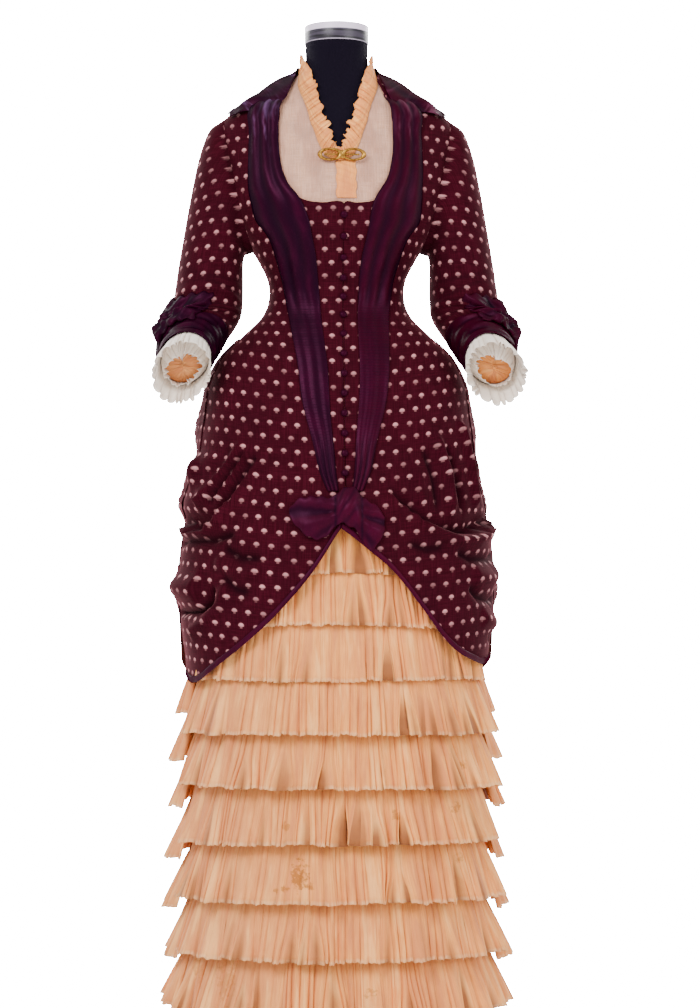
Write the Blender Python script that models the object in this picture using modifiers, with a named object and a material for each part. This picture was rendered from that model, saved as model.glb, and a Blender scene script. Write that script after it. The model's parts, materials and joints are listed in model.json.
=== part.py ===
"""Polonaise dress of about 1880 on a limbless dress form.

Metres, +Z up, the front looks along -Y and the wearer's left is +X.  The
origin is on the floor under the middle of the stand.  Cloth pieces are walls
lofted over two lofted bodies: the torso with the polonaise, and the skirt.
"""

import math

import bpy
import numpy as np
from mathutils import Vector
from mathutils.bvhtree import BVHTree

# Walls and the small gaps between layers
CLOTH = 0.0014
THIN = 0.0011
SATIN = 0.0012
SEAM_GAP = 0.0005

# How far the form lies inside the torso's surface, and the offsets from that
# surface to the inner face of each layer
FORM_IN = 0.0006
CHEMISETTE_OUT = 0.0012
BODICE_OUT = 0.0042
REVERS_OUT = 0.0073
COLLAR_OUT = 0.0080
COLLAR_LIFT = 0.0024
PUFF_OUT = 0.0074
BINDING_OUT = 0.0013

# The closure lies a little to the wearer's left of the middle, and the neckline a
# little to the right; rows of the fronts and backs flatten towards the side seam
CLOSURE_X = 0.006
NECK_SHIFT = -0.004
SIDE_SEAM = math.radians(89.86)
ROW_EASE = 2.0

# Squareness of the sections: 2 is an ellipse
TORSO_SQUARE = 2.2
SKIRT_SQUARE = 2.2

# Stand
BASE_RADIUS = 0.160
BASE_HEIGHT = 0.012
POLE_RADIUS = 0.0125
FORM_BOTTOM = 0.800
FORM_TOP = 1.424
CAP_HEIGHT = 0.026
CAP_RADIUS = 0.0465

# Buttons down the closure
BUTTON_COUNT = 14
BUTTON_TOP = 1.1605
BUTTON_PITCH = 0.0285
BUTTON_RADIUS = 0.0052
BUTTON_HEIGHT = 0.0050
BUTTON_SEAT = 0.0005
BUTTON_SPOTS = [(u, v) for u in (-1.0, -0.5, -0.15, 0.15, 0.5, 1.0) for v in (-1.0, -0.5, 0.0, 0.5, 1.0)]

# Waist of the underskirt, and the hem of the whole skirt
UNDERSKIRT_TOP = 0.995
HEM = 0.0375

# The torso of the form: height, half width, front depth, back depth
TORSO = [
    (0.800, 0.138, 0.092, 0.098),
    (0.815, 0.150, 0.100, 0.108),
    (0.850, 0.158, 0.105, 0.115),
    (0.900, 0.155, 0.103, 0.113),
    (0.950, 0.141, 0.096, 0.102),
    (0.992, 0.119, 0.086, 0.087),
    (1.021, 0.1015, 0.079, 0.076),
    (1.050, 0.0927, 0.075, 0.070),
    (1.079, 0.0948, 0.080, 0.072),
    (1.108, 0.1086, 0.092, 0.077),
    (1.150, 0.1340, 0.108, 0.084),
    (1.185, 0.1480, 0.113, 0.088),
    (1.215, 0.1570, 0.107, 0.089),
    (1.250, 0.1640, 0.093, 0.087),
    (1.280, 0.1665, 0.080, 0.084),
    (1.300, 0.1640, 0.072, 0.079),
    (1.316, 0.1510, 0.066, 0.073),
    (1.334, 0.1140, 0.059, 0.066),
    (1.3515, 0.0860, 0.054, 0.060),
    (1.3695, 0.0620, 0.050, 0.055),
    (1.388, 0.0490, 0.048, 0.050),
    (1.424, 0.0460, 0.0460, 0.0460),
]

# The polonaise below the waist, which the form doesn't fill
POLONAISE_HIP = [
    (0.690, 0.2010, 0.1560, 0.2400),
    (0.760, 0.1985, 0.1480, 0.2350),
    (0.800, 0.1965, 0.1395, 0.2300),
    (0.847, 0.1935, 0.1315, 0.2200),
    (0.876, 0.1890, 0.1260, 0.2100),
    (0.905, 0.1860, 0.1200, 0.1950),
    (0.9195, 0.1840, 0.1165, 0.1830),
    (0.934, 0.1780, 0.1130, 0.1680),
    (0.963, 0.1620, 0.1045, 0.1350),
    (0.992, 0.1330, 0.0930, 0.1030),
    (1.021, 0.1040, 0.0800, 0.0780),
]

# The underskirt that carries the frills
UNDERSKIRT = [
    (0.034, 0.2120, 0.1760, 0.2550),
    (0.100, 0.2100, 0.1740, 0.2500),
    (0.300, 0.2050, 0.1680, 0.2380),
    (0.500, 0.1990, 0.1580, 0.2220),
    (0.650, 0.1900, 0.1430, 0.2060),
    (0.750, 0.1820, 0.1310, 0.1900),
    (0.850, 0.1710, 0.1160, 0.1600),
    (0.900, 0.1630, 0.1080, 0.1370),
    (0.950, 0.1450, 0.0985, 0.1080),
    (0.995, 0.1170, 0.0850, 0.0858),
]

# The looped-up apron and the bustle drapery over the skirt
DRAPERY = [
    (0.440, 0.2230, 0.1850, 0.2590),
    (0.500, 0.2215, 0.1830, 0.2590),
    (0.530, 0.2215, 0.1800, 0.2620),
    (0.560, 0.2230, 0.1770, 0.2660),
    (0.600, 0.2250, 0.1730, 0.2700),
    (0.640, 0.2260, 0.1690, 0.2760),
    (0.690, 0.2230, 0.1640, 0.2720),
    (0.720, 0.2180, 0.1600, 0.2660),
    (0.760, 0.2080, 0.1550, 0.2640),
    (0.800, 0.2035, 0.1460, 0.2600),
    (0.860, 0.1985, 0.1350, 0.2480),
    (0.905, 0.1925, 0.1265, 0.2180),
    (0.934, 0.1885, 0.1225, 0.1900),
    (0.963, 0.1715, 0.1140, 0.1530),
    (0.990, 0.1440, 0.1030, 0.1200),
]

# Armhole: its centre height, half height and half angle
ARMHOLE_MID = 1.2180
ARMHOLE_HALF = 0.0955
ARMHOLE_ANGLE = math.radians(24.0)
ARMHOLE_LAP = 0.0014
ARMHOLE_STEPS = [0, 25, 50, 70, 90, 110, 135, 160, 180]

# Front panel: armhole step with the neckline's x and z, and under the armhole the
# neckline's or closure's x and z with the side seam's z
FRONT_NECK = [
    (0, 0.0500, 1.3775),
    (8, 0.0582, 1.3715),
    (16, 0.0600, 1.3655),
    (25, 0.0605, 1.3590),
    (50, 0.0715, 1.3370),
    (70, 0.0790, 1.3120),
    (90, 0.0815, 1.2850),
    (110, 0.0815, 1.2620),
    (135, 0.0780, 1.2360),
    (160, 0.0700, 1.2100),
    (180, 0.0590, 1.1900),
]
FRONT_SKIRT = [
    (0.0470, 1.1800, 1.1140),
    (0.0240, 1.1765, 1.1030),
    (None, 1.1760, 1.0920),
    (None, 1.1420, 1.0780),
    (None, 1.1080, 1.0640),
    (None, 1.0800, 1.0500),
    (None, 1.0560, 1.0360),
    (None, 1.0330, 1.0200),
    (None, 1.0080, 1.0000),
    (None, 0.9800, 0.9760),
    (None, 0.9450, 0.9430),
    (None, 0.8950, 0.8930),
    (None, 0.8250, 0.8200),
    (None, 0.7400, 0.7050),
]

# Back panel: armhole step with the angle and z of the neck or centre back, and
# under the armhole the z of the centre back and of the side seam
BACK_NECK = [
    (0, 91.0, 1.3790),
    (12, 103.0, 1.3805),
    (25, 115.0, 1.3820),
    (50, 148.0, 1.3840),
    (70, 179.7, 1.3850),
    (90, 179.7, 1.3450),
    (110, 179.7, 1.3000),
    (135, 179.7, 1.2500),
    (160, 179.7, 1.2000),
    (180, 179.7, 1.1600),
]
BACK_SKIRT = [
    (1.1250, 1.1000),
    (1.0880, 1.0750),
    (1.0520, 1.0480),
    (1.0150, 1.0150),
    (0.9600, 0.9650),
]

# Chemisette with its V: V edge angle or x, z, then outer edge angle or x, z.
# Angles are in degrees and above 1; everything below is an x in metres.
CHEMISETTE = [
    (104.0, 1.3960, 104.0, 1.3640),
    (82.0, 1.3900, 86.0, 1.3560),
    (0.0450, 1.3600, 0.0800, 1.3330),
    (0.0385, 1.3270, 0.0885, 1.3000),
    (0.0285, 1.2950, 0.0905, 1.2640),
    (0.0190, 1.2680, 0.0870, 1.2300),
    (0.0125, 1.2510, 0.0740, 1.1950),
    (0.0060, 1.2445, 0.0400, 1.1700),
    (0.0000, 1.2420, 0.0000, 1.1680),
]
CHEMISETTE_STATIONS = [0.0, 0.5, 1.0, 1.3, 1.6, 1.9, 2.3, 3.0, 4.0, 5.0, 6.0, 7.0, 8.0]
# Free edge of the frill that stands on the V edge, one row for each above
FRILL_EDGE = [
    (104.0, 1.4080),
    (78.0, 1.4050),
    (0.0350, 1.3700),
    (0.0265, 1.3360),
    (0.0170, 1.3050),
    (0.0100, 1.2820),
    (0.0070, 1.2720),
    (0.0040, 1.2670),
    (0.0000, 1.2655),
]
NECK_WAVES = 14
NECK_WAVE = 0.0022

# Collar: inner edge angle, z, outer edge angle, z, from the front edge to the nape
COLLAR = [
    (31.0, 1.3180, 68.0, 1.3180),
    (38.0, 1.3380, 76.0, 1.3190),
    (53.0, 1.3600, 84.0, 1.3200),
    (86.0, 1.3860, 93.0, 1.3200),
    (120.0, 1.3900, 116.0, 1.3060),
    (150.0, 1.3910, 148.0, 1.2860),
    (180.0, 1.3915, 180.0, 1.2800),
]
COLLAR_STATIONS = [0.0, 0.6, 1.2, 1.7, 2.1, 2.45, 2.8, 3.1, 3.4, 3.8, 4.4, 5.1, 6.0]

# Revers: z, inner x, outer x
REVERS = [
    (1.3130, 0.0840, 0.1220),
    (1.2850, 0.0850, 0.1210),
    (1.2450, 0.0840, 0.1210),
    (1.2080, 0.0710, 0.1200),
    (1.1780, 0.0520, 0.1170),
    (1.1550, 0.0440, 0.1110),
    (1.1380, 0.0400, 0.0980),
    (1.1040, 0.0310, 0.0840),
    (1.0700, 0.0280, 0.0745),
    (1.0390, 0.0265, 0.0710),
    (0.9676, 0.0235, 0.0650),
    (0.8980, 0.0208, 0.0540),
    (0.8350, 0.0165, 0.0400),
    (0.7830, 0.0140, 0.0300),
]
REVERS_LEVELS = [
    1.3130, 1.2800, 1.2400, 1.2050, 1.1750, 1.1450, 1.1100, 1.0760, 1.0500, 1.0250, 0.9980, 0.9680,
    0.9350, 0.8800, 0.7830,
]
REVERS_FOLDS = 3
REVERS_FOLD = 0.0012

# Apron: lip of the loops at each angle, and the cutaway edge at each x
LIP = [
    (0.0, 0.7600),
    (15.0, 0.7620),
    (37.0, 0.7280),
    (63.0, 0.7060),
    (75.0, 0.7130),
    (92.0, 0.7360),
]
CUTAWAY = {
    1: [(0.000, 0.714), (0.041, 0.682), (0.069, 0.658), (0.112, 0.606), (0.147, 0.559), (0.196, 0.526)],
    -1: [(0.000, 0.714), (0.028, 0.670), (0.083, 0.601), (0.125, 0.560), (0.168, 0.524), (0.199, 0.500)],
}
CUTAWAY_BACK = {1: 0.535, -1: 0.512}
LIP_ROLL = 0.010
BINDING_WIDTH = 0.0115

# Bustle drapery: its hem, its lap over the fronts, and its looped puffs:
# the middle height, half height and swell of each
PUFF_HEM_SIDE = 0.505
PUFF_HEM_BACK = 0.455
PUFF_LAP = math.radians(11.0)
PUFF_EDGE = 0.16
PUFF_SAG = 0.018
PUFF_COLUMNS = 16
PUFF_LEVELS = [
    0.986, 0.968, 0.945, 0.915, 0.875, 0.830, 0.790, 0.762, 0.735, 0.700, 0.665, 0.630, 0.595, 0.550,
    PUFF_HEM_SIDE,
]
PUFFS = [
    (0.868, 0.036, 0.018),
    (0.765, 0.032, 0.016),
    (0.632, 0.030, 0.020),
]

# Front frills: z of the hem edge, half angle, flare and wave height
FRONT_TIERS = [
    (0.6500, 27, 0.0080, 0.0025),
    (0.5750, 48, 0.0100, 0.0035),
    (0.4990, 75, 0.0125, 0.0040),
    (0.4245, 76, 0.0240, 0.0055),
    (0.3500, 76, 0.0260, 0.0060),
    (0.2750, 76, 0.0260, 0.0060),
    (0.1950, 76, 0.0260, 0.0065),
    (0.1160, 76, 0.0270, 0.0065),
    (HEM, 76, 0.0280, 0.0070),
]
BACK_TIERS = [
    (0.4520, 0.0185, 0.0050),
    (0.3850, 0.0270, 0.0060),
    (0.3170, 0.0270, 0.0060),
    (0.2450, 0.0280, 0.0065),
    (0.1750, 0.0290, 0.0065),
    (0.1050, 0.0290, 0.0070),
    (HEM, 0.0290, 0.0070),
]
TIER_WAVES = 10
TIER_DEPTH = 0.0885
FRONT_TIER_OUT = 0.0004
BACK_TIER_OUT = 0.0007
BACK_TIER_START = math.radians(77.0)
# Where the points of one pleat lie along it, and how far out each stands
PLEAT = [(0.0, -1.0), (0.38, 0.35), (0.76, 1.0)]

# Sleeve rings: outer x, z, inner x, z, middle y, half depth, pitch in degrees
SLEEVE = [
    (0.1665, 1.3085, 0.1325, 1.1180, 0.000, 0.0520, 0),
    (0.1840, 1.2960, 0.1350, 1.1140, 0.000, 0.0560, 0),
    (0.1975, 1.2600, 0.1360, 1.1080, 0.001, 0.0585, 0),
    (0.2085, 1.2080, 0.1365, 1.0980, 0.002, 0.0575, 0),
    (0.2185, 1.1530, 0.1365, 1.0850, 0.003, 0.0560, 0),
    (0.2275, 1.1030, 0.1370, 1.0690, 0.004, 0.0550, 0),
    (0.2345, 1.0600, 0.1380, 1.0490, 0.005, 0.0540, 2),
    (0.2400, 1.0220, 0.1410, 1.0270, 0.003, 0.0520, 12),
    (0.2430, 1.0000, 0.1530, 1.0070, -0.012, 0.0475, 30),
    (0.2480, 0.9790, 0.1690, 0.9870, -0.039, 0.0440, 50),
    (0.2530, 0.9590, 0.1790, 0.9690, -0.065, 0.0425, 56),
    (0.2570, 0.9430, 0.1850, 0.9540, -0.087, 0.0415, 56),
    (0.2600, 0.9270, 0.1880, 0.9390, -0.108, 0.0415, 56),
]
SLEEVE_RINGS = [0.45, 1.3, 2.4, 3.7, 5.0, 6.0, 7.0, 8.0, 8.5, 9.0, 10.0]
CUFF_RINGS = [8.5, 9.0, 10.0, 10.6]
CUFF_OUT = 0.0010
# Frill inside each cuff: ring, offset and wave height of its three rows
CUFF_FRILL = [
    (10.15, -0.0010, 0.0000),
    (10.62, -0.0008, 0.0004),
    (11.90, 0.0050, 0.0035),
]
CUFF_WAVES = 8

# Bow at each cuff, on the sleeve: ring and angle spans
CUFF_BOW_RINGS = (6.3, 8.9)
CUFF_BOW_ANGLES = (-48.0, 84.0)
CUFF_BOW_OUT = 0.0013
CUFF_BOW_STEP = 0.0022
CUFF_BOW_LIFT = 0.0135

# Bow at the foot of the revers: x, lower z, upper z, lift
FRONT_BOW = [
    (-0.0710, 0.7400, 0.7470, 0.0005),
    (-0.0560, 0.7290, 0.7540, 0.0025),
    (-0.0380, 0.7140, 0.7510, 0.0030),
    (-0.0200, 0.7020, 0.7520, 0.0025),
    (-0.0070, 0.7120, 0.7640, 0.0035),
    (0.0020, 0.7160, 0.7720, 0.0075),
    (0.0110, 0.7150, 0.7720, 0.0075),
    (0.0200, 0.7050, 0.7620, 0.0035),
    (0.0330, 0.6900, 0.7540, 0.0030),
    (0.0450, 0.6880, 0.7490, 0.0025),
    (0.0570, 0.7000, 0.7430, 0.0020),
    (0.0650, 0.7110, 0.7320, 0.0005),
]
FRONT_BOW_OUT = 0.0034

# Placket below the brooch, and the brooch
PLACKET_X = (0.0005, 0.0195)
PLACKET_Z = (1.2370, 1.1830)
BROOCH_Z = 1.2465
BROOCH_X = 0.003
BROOCH_LOOP = (0.0165, 0.0085)
BROOCH_WIRE = 0.0022
BROOCH_KNOT = 0.0058
BROOCH_DEPTH = 0.0026

# Colour, roughness and metallic value of each material
FINISHES = {
    "form": ((0.012, 0.011, 0.020), 0.75, 0.0),
    "metal": ((0.42, 0.42, 0.48), 0.30, 0.9),
    "stand": ((0.02, 0.02, 0.022), 0.45, 0.6),
    "brocade": ((0.110, 0.018, 0.034), 0.60, 0.0),
    "satin": ((0.070, 0.008, 0.045), 0.35, 0.0),
    "batiste": ((0.82, 0.70, 0.60), 0.80, 0.0),
    "peach": ((0.78, 0.47, 0.28), 0.70, 0.0),
    "gold": ((0.50, 0.30, 0.06), 0.35, 0.9),
}


def smooth_row(table, at):
    """Read a table of numbers, sorted by its first column, on a smooth curve."""
    rows = np.array(table, dtype=float)
    keys = rows[:, 0]
    at = min(max(at, keys[0]), keys[-1])
    low = int(min(max(np.searchsorted(keys, at) - 1, 0), len(keys) - 2))
    slopes = np.gradient(rows, keys, axis=0)
    step = keys[low + 1] - keys[low]
    t = (at - keys[low]) / step
    ends = rows[low] * (1 + 2 * t) * (1 - t) ** 2 + rows[low + 1] * t * t * (3 - 2 * t)
    turn = slopes[low] * t * (1 - t) ** 2 - slopes[low + 1] * t * t * (1 - t)
    return ends + turn * step


class Body:
    """A loft of rounded sections: half width, front depth and back depth by height."""

    def __init__(self, rows, square):
        self.rows = sorted(rows)
        self.power = 2.0 / square

    def point(self, angle, z):
        half, front, back = smooth_row(self.rows, z)[1:]
        s, c = math.sin(angle), math.cos(angle)
        depth = front if c > 0 else back
        x = half * math.copysign(abs(s) ** self.power, s)
        y = -depth * math.copysign(abs(c) ** self.power, c)
        return Vector((x, y, z))

    def out(self, angle, z, offset):
        """The point at this angle and height, moved out along the surface's normal."""
        around = self.point(angle + 0.01, z) - self.point(angle - 0.01, z)
        up = self.point(angle, z + 0.002) - self.point(angle, z - 0.002)
        return self.point(angle, z) + around.cross(up).normalized() * offset

    def angle(self, x, z):
        """The angle in front at which the section reaches x."""
        half = smooth_row(self.rows, z)[1]
        ratio = min(abs(x) / half, 1.0)
        return math.copysign(math.asin(ratio ** (1.0 / self.power)), x)


TORSO_BODY = Body(TORSO, TORSO_SQUARE)
DRESS_BODY = Body(POLONAISE_HIP + [row for row in TORSO if row[0] >= 1.05], TORSO_SQUARE)
SKIRT_BODY = Body(UNDERSKIRT, SKIRT_SQUARE)
DRAPERY_BODY = Body(DRAPERY, SKIRT_SQUARE)


def material(name):
    found = bpy.data.materials.get(name)
    if found:
        return found
    colour, roughness, metallic = FINISHES[name]
    made = bpy.data.materials.new(name)
    made.use_nodes = True
    shader = made.node_tree.nodes["Principled BSDF"]
    shader.inputs["Base Color"].default_value = (*colour, 1.0)
    shader.inputs["Roughness"].default_value = roughness
    shader.inputs["Metallic"].default_value = metallic
    return made


def keep(obj, name, finish):
    """Name an object, give it its material and put it in the dress's collection."""
    obj.name = name
    obj.data.name = name
    obj.data.materials.clear()
    obj.data.materials.append(material(finish))
    for group in list(obj.users_collection):
        group.objects.unlink(obj)
    DRESS.objects.link(obj)
    return obj


def loft(name, finish, rows, wall, ring=False):
    """A cloth wall over rows of points, top to bottom, thickened outwards.

    Each patch is split along its shorter diagonal, so neighbours keep their gaps.
    """
    across = len(rows[0])
    points = [p for row in rows for p in row]
    last = across if ring else across - 1
    faces = []
    for i in range(len(rows) - 1):
        for j in range(last):
            k = (j + 1) % across
            a, b = i * across + j, (i + 1) * across + j
            c, d = (i + 1) * across + k, i * across + k
            if (points[a] - points[c]).length < (points[b] - points[d]).length:
                faces += [(a, b, c), (a, c, d)]
            else:
                faces += [(a, b, d), (b, c, d)]
    mesh = bpy.data.meshes.new(name)
    mesh.from_pydata(points, [], faces)
    obj = bpy.data.objects.new(name, mesh)
    bpy.context.scene.collection.objects.link(obj)
    keep(obj, name, finish)
    thick = obj.modifiers.new("Wall", "SOLIDIFY")
    thick.thickness = wall
    thick.offset = 1.0
    thick.use_even_offset = False
    mesh.shade_smooth()
    mesh.set_sharp_from_angle(angle=math.radians(50))
    return obj


def solid_loft(name, finish, rows):
    """A closed loft over rings of points, top to bottom, with flat ends."""
    across = len(rows[0])
    points = [tuple(p) for row in rows for p in row]
    faces = []
    for i in range(len(rows) - 1):
        for j in range(across):
            k = (j + 1) % across
            faces.append((i * across + j, (i + 1) * across + j, (i + 1) * across + k, i * across + k))
    faces.append(tuple(range(across)))
    faces.append(tuple(reversed(range((len(rows) - 1) * across, len(rows) * across))))
    mesh = bpy.data.meshes.new(name)
    mesh.from_pydata(points, [], faces)
    obj = bpy.data.objects.new(name, mesh)
    bpy.context.scene.collection.objects.link(obj)
    keep(obj, name, finish)
    mesh.shade_smooth()
    mesh.set_sharp_from_angle(angle=math.radians(50))
    return obj


def turned(name, finish, profile, sides):
    """A turned piece: a closed profile at +X, from the top down, screwed round Z."""
    mesh = bpy.data.meshes.new(name)
    edges = [(i, i + 1) for i in range(len(profile) - 1)]
    mesh.from_pydata([(r, 0, z) for r, z in profile], edges, [])
    obj = bpy.data.objects.new(name, mesh)
    bpy.context.scene.collection.objects.link(obj)
    keep(obj, name, finish)
    screw = obj.modifiers.new("Turn", "SCREW")
    screw.steps = sides
    screw.render_steps = sides
    screw.use_merge_vertices = True
    screw.merge_threshold = 0.0001
    return obj


def side_name(side):
    return "left" if side > 0 else "right"


def ordered(side, points):
    """Run a row from the wearer's right to the wearer's left on either side."""
    return points if side > 0 else list(reversed(points))


def between(a, b, steps):
    return [a + (b - a) * i / steps for i in range(steps + 1)]


def make_form():
    heights = [
        1.424, 1.392, 1.372, 1.354, 1.337, 1.322, 1.308, 1.290, 1.265, 1.235, 1.200, 1.165,
        1.130, 1.095, 1.065, 1.035, 1.000, 0.955, 0.900, 0.850, 0.815, FORM_BOTTOM,
    ]
    sides = 24
    turns = [2 * math.pi * j / sides for j in range(sides)]
    rows = [[TORSO_BODY.out(turn, z, -FORM_IN) for turn in turns] for z in heights]
    solid_loft("form_torso", "form", rows)
    top = FORM_TOP + 0.0003
    turned("form_neck_cap", "metal", [
        (0.0, top + CAP_HEIGHT), (CAP_RADIUS - 0.004, top + CAP_HEIGHT),
        (CAP_RADIUS, top + CAP_HEIGHT - 0.004), (CAP_RADIUS, top), (0.0, top),
    ], 24)
    seat = FORM_BOTTOM - 0.0003
    turned("stand", "stand", [
        (0.0, seat), (0.034, seat), (0.034, seat - 0.006), (POLE_RADIUS, seat - 0.012),
        (POLE_RADIUS, BASE_HEIGHT + 0.030), (0.022, BASE_HEIGHT + 0.006),
        (BASE_RADIUS - 0.010, BASE_HEIGHT), (BASE_RADIUS, BASE_HEIGHT - 0.006),
        (BASE_RADIUS, 0.0), (0.0, 0.0),
    ], 24)


def armhole(step, front, shrink=0.0):
    """Angle and height of the armhole's edge at a step from its top, in degrees."""
    turn = math.radians(step)
    reach = (ARMHOLE_ANGLE - shrink / 0.16) * abs(math.sin(turn)) ** 0.8
    z = ARMHOLE_MID + (ARMHOLE_HALF - shrink) * math.cos(turn)
    middle = math.pi / 2
    return (middle - reach if front else middle + reach), z


def panel_row(body, inner, outer, steps, offset):
    """A row of points between two angle and height pairs."""
    row = []
    for t in between(0.0, 1.0, steps):
        angle = inner[0] + (outer[0] - inner[0]) * t
        z = outer[1] + (inner[1] - outer[1]) * (1 - t) ** ROW_EASE
        row.append(body.out(angle, z, offset))
    return row


def make_fronts():
    for side in (-1, 1):
        rows = []
        for step, x, z in FRONT_NECK:
            angle, arm_z = armhole(step, True)
            angle = min(angle, SIDE_SEAM)
            inner = SIDE_SEAM if step == 0 else TORSO_BODY.angle(x + side * NECK_SHIFT, z)
            rows.append(panel_row(DRESS_BODY, (side * inner, z), (side * angle, arm_z), 7, BODICE_OUT))
        for x, z, seam_z in FRONT_SKIRT:
            edge = CLOSURE_X + side * SEAM_GAP / 2 if x is None else side * x
            inner = DRESS_BODY.angle(edge, z)
            rows.append(panel_row(DRESS_BODY, (inner, z), (side * SIDE_SEAM, seam_z), 7, BODICE_OUT))
        rows = [ordered(side, row) for row in rows]
        loft("front_" + side_name(side), "brocade", rows, CLOTH)


def make_backs():
    seam = math.pi - SIDE_SEAM
    for side in (-1, 1):
        rows = []
        for step, degrees, z in BACK_NECK:
            angle, arm_z = armhole(step, False)
            angle = max(angle, math.pi - SIDE_SEAM)
            outer = (side * angle, arm_z)
            rows.append(panel_row(DRESS_BODY, (side * math.radians(degrees), z), outer, 6, BODICE_OUT))
        for z, seam_z in BACK_SKIRT:
            inner = (side * math.radians(179.8), z)
            outer = (side * seam, seam_z)
            rows.append(panel_row(DRESS_BODY, inner, outer, 6, BODICE_OUT))
        rows = [ordered(-side, row) for row in rows]
        loft("back_" + side_name(side), "brocade", rows, CLOTH)


def sleeve_point(side, ring, step, offset):
    """A point of the sleeve: ring number, degrees from its outer line to the front."""
    table = [(i, *row) for i, row in enumerate(SLEEVE)]
    ox, oz, ix, iz, y, depth, pitch = smooth_row(table, ring)[1:]
    middle = Vector(((ox + ix) / 2, y, (oz + iz) / 2))
    reach = Vector(((ox - ix) / 2, 0.0, (oz - iz) / 2))
    lean = math.radians(pitch)
    forward = Vector((0.0, -math.cos(lean), math.sin(lean))) * depth
    turn = math.radians(step)
    c, s = math.cos(turn), math.sin(turn)
    ray = reach * c + forward * s
    lift = (reach / reach.length_squared * c + forward / forward.length_squared * s).normalized()
    point = middle + ray + lift * offset
    return Vector((side * point.x, point.y, point.z))


def seam_point(side, step, offset):
    """The sleeve's first ring, which lies just over the armhole's edge."""
    front = step <= 180
    angle, z = armhole(step if front else 360 - step, front, SEAM_GAP)
    return DRESS_BODY.out(side * angle, z, offset)


def make_sleeves():
    steps = ARMHOLE_STEPS + [360 - s for s in reversed(ARMHOLE_STEPS[1:-1])]
    for side in (-1, 1):
        rows = [[seam_point(side, step, BODICE_OUT + CLOTH + ARMHOLE_LAP) for step in steps]]
        for ring in SLEEVE_RINGS:
            rows.append([sleeve_point(side, ring, step, 0.0) for step in steps])
        rows = [list(reversed(row)) if side > 0 else row for row in rows]
        loft("sleeve_" + side_name(side), "brocade", rows, CLOTH, ring=True)
        cuff = []
        for ring in CUFF_RINGS:
            cuff.append([sleeve_point(side, ring, step, CLOTH + CUFF_OUT) for step in steps])
        cuff = [list(reversed(row)) if side > 0 else row for row in cuff]
        loft("cuff_" + side_name(side), "satin", cuff, SATIN, ring=True)
        make_cuff_frill(side)
        make_cuff_bow(side)


def make_cuff_frill(side):
    rows = []
    for ring, out, height in CUFF_FRILL:
        row = []
        for wave in range(CUFF_WAVES):
            for along, lift in PLEAT:
                step = 360.0 * (wave + along) / CUFF_WAVES
                row.append(sleeve_point(side, ring, step, out + height * lift))
        rows.append(row)
    rows = [list(reversed(row)) if side > 0 else row for row in rows]
    loft("cuff_frill_" + side_name(side), "batiste", rows, THIN, ring=True)


def make_cuff_bow(side):
    rows = []
    for i, ring in enumerate(between(*CUFF_BOW_RINGS, 6)):
        v = i / 6 * 2 - 1
        row = []
        for j, step in enumerate(between(*CUFF_BOW_ANGLES, 7)):
            u = j / 7 * 2 - 1
            swell = (1 - u * u) * (1 - v * v)
            ruffle = 0.5 + 0.5 * math.cos(3.1 * u * math.pi + 1.3 * v)
            pull = 1 - 0.16 * abs(u) * (1 - abs(v))
            mid = sum(CUFF_BOW_RINGS) / 2
            at = mid + (ring - mid) * pull * (1 - 0.22 * (1 - abs(u)))
            over_cuff = min(max((at - CUFF_RINGS[0] + 0.7) / 0.5, 0.0), 1.0)
            lift = CUFF_BOW_LIFT * (0.35 + 0.65 * ruffle) * swell ** 0.5
            offset = CLOTH + CUFF_BOW_OUT + CUFF_BOW_STEP * over_cuff + lift
            row.append(sleeve_point(side, at, step, offset))
        rows.append(row)
    rows = [list(reversed(row)) if side > 0 else row for row in rows]
    loft("cuff_bow_" + side_name(side), "satin", rows, SATIN)


def read_edge(table, columns, along):
    """Read two columns of an edge table, angle or x with z, on a smooth curve."""
    rows = []
    for i, row in enumerate(table):
        first, z = row[columns], row[columns + 1]
        angle = math.radians(first) if first > 1 else TORSO_BODY.angle(first, z)
        rows.append((i, angle, z))
    return smooth_row(rows, along)[1:]


def make_chemisette():
    half = CHEMISETTE_STATIONS
    stations = [(1, s) for s in half] + [(-1, s) for s in reversed(half[:-1])]
    rows = []
    for t in between(0.0, 1.0, 5):
        row = []
        for side, along in stations:
            v_angle, v_z = read_edge(CHEMISETTE, 0, along)
            n_angle, n_z = read_edge(CHEMISETTE, 2, along)
            angle = v_angle + (n_angle - v_angle) * t
            z = v_z + (n_z - v_z) * t
            row.append(TORSO_BODY.out(side * angle, z, CHEMISETTE_OUT))
        rows.append(list(reversed(row)))
    loft("chemisette", "batiste", rows, THIN)


def make_neck_frill():
    last = len(CHEMISETTE) - 1
    count = NECK_WAVES * len(PLEAT)
    root_out = CHEMISETTE_OUT + THIN + 0.0008
    rows = [[], []]
    for i in range(count + 1):
        t = i / count * 2 - 1
        side = -1 if t < 0 else 1
        along = (1 - abs(t)) * last
        wave = PLEAT[i % len(PLEAT)][1] * min(1.0, 4.0 * abs(t))
        root_angle, root_z = read_edge(CHEMISETTE, 0, along)
        edge_angle, edge_z = read_edge(FRILL_EDGE, 0, along)
        rows[0].append(TORSO_BODY.out(side * edge_angle, edge_z, root_out + 0.0030 + NECK_WAVE * wave))
        rows[1].append(TORSO_BODY.out(side * root_angle, root_z - 0.002, root_out))
    loft("neck_frill", "peach", rows, THIN)


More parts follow.
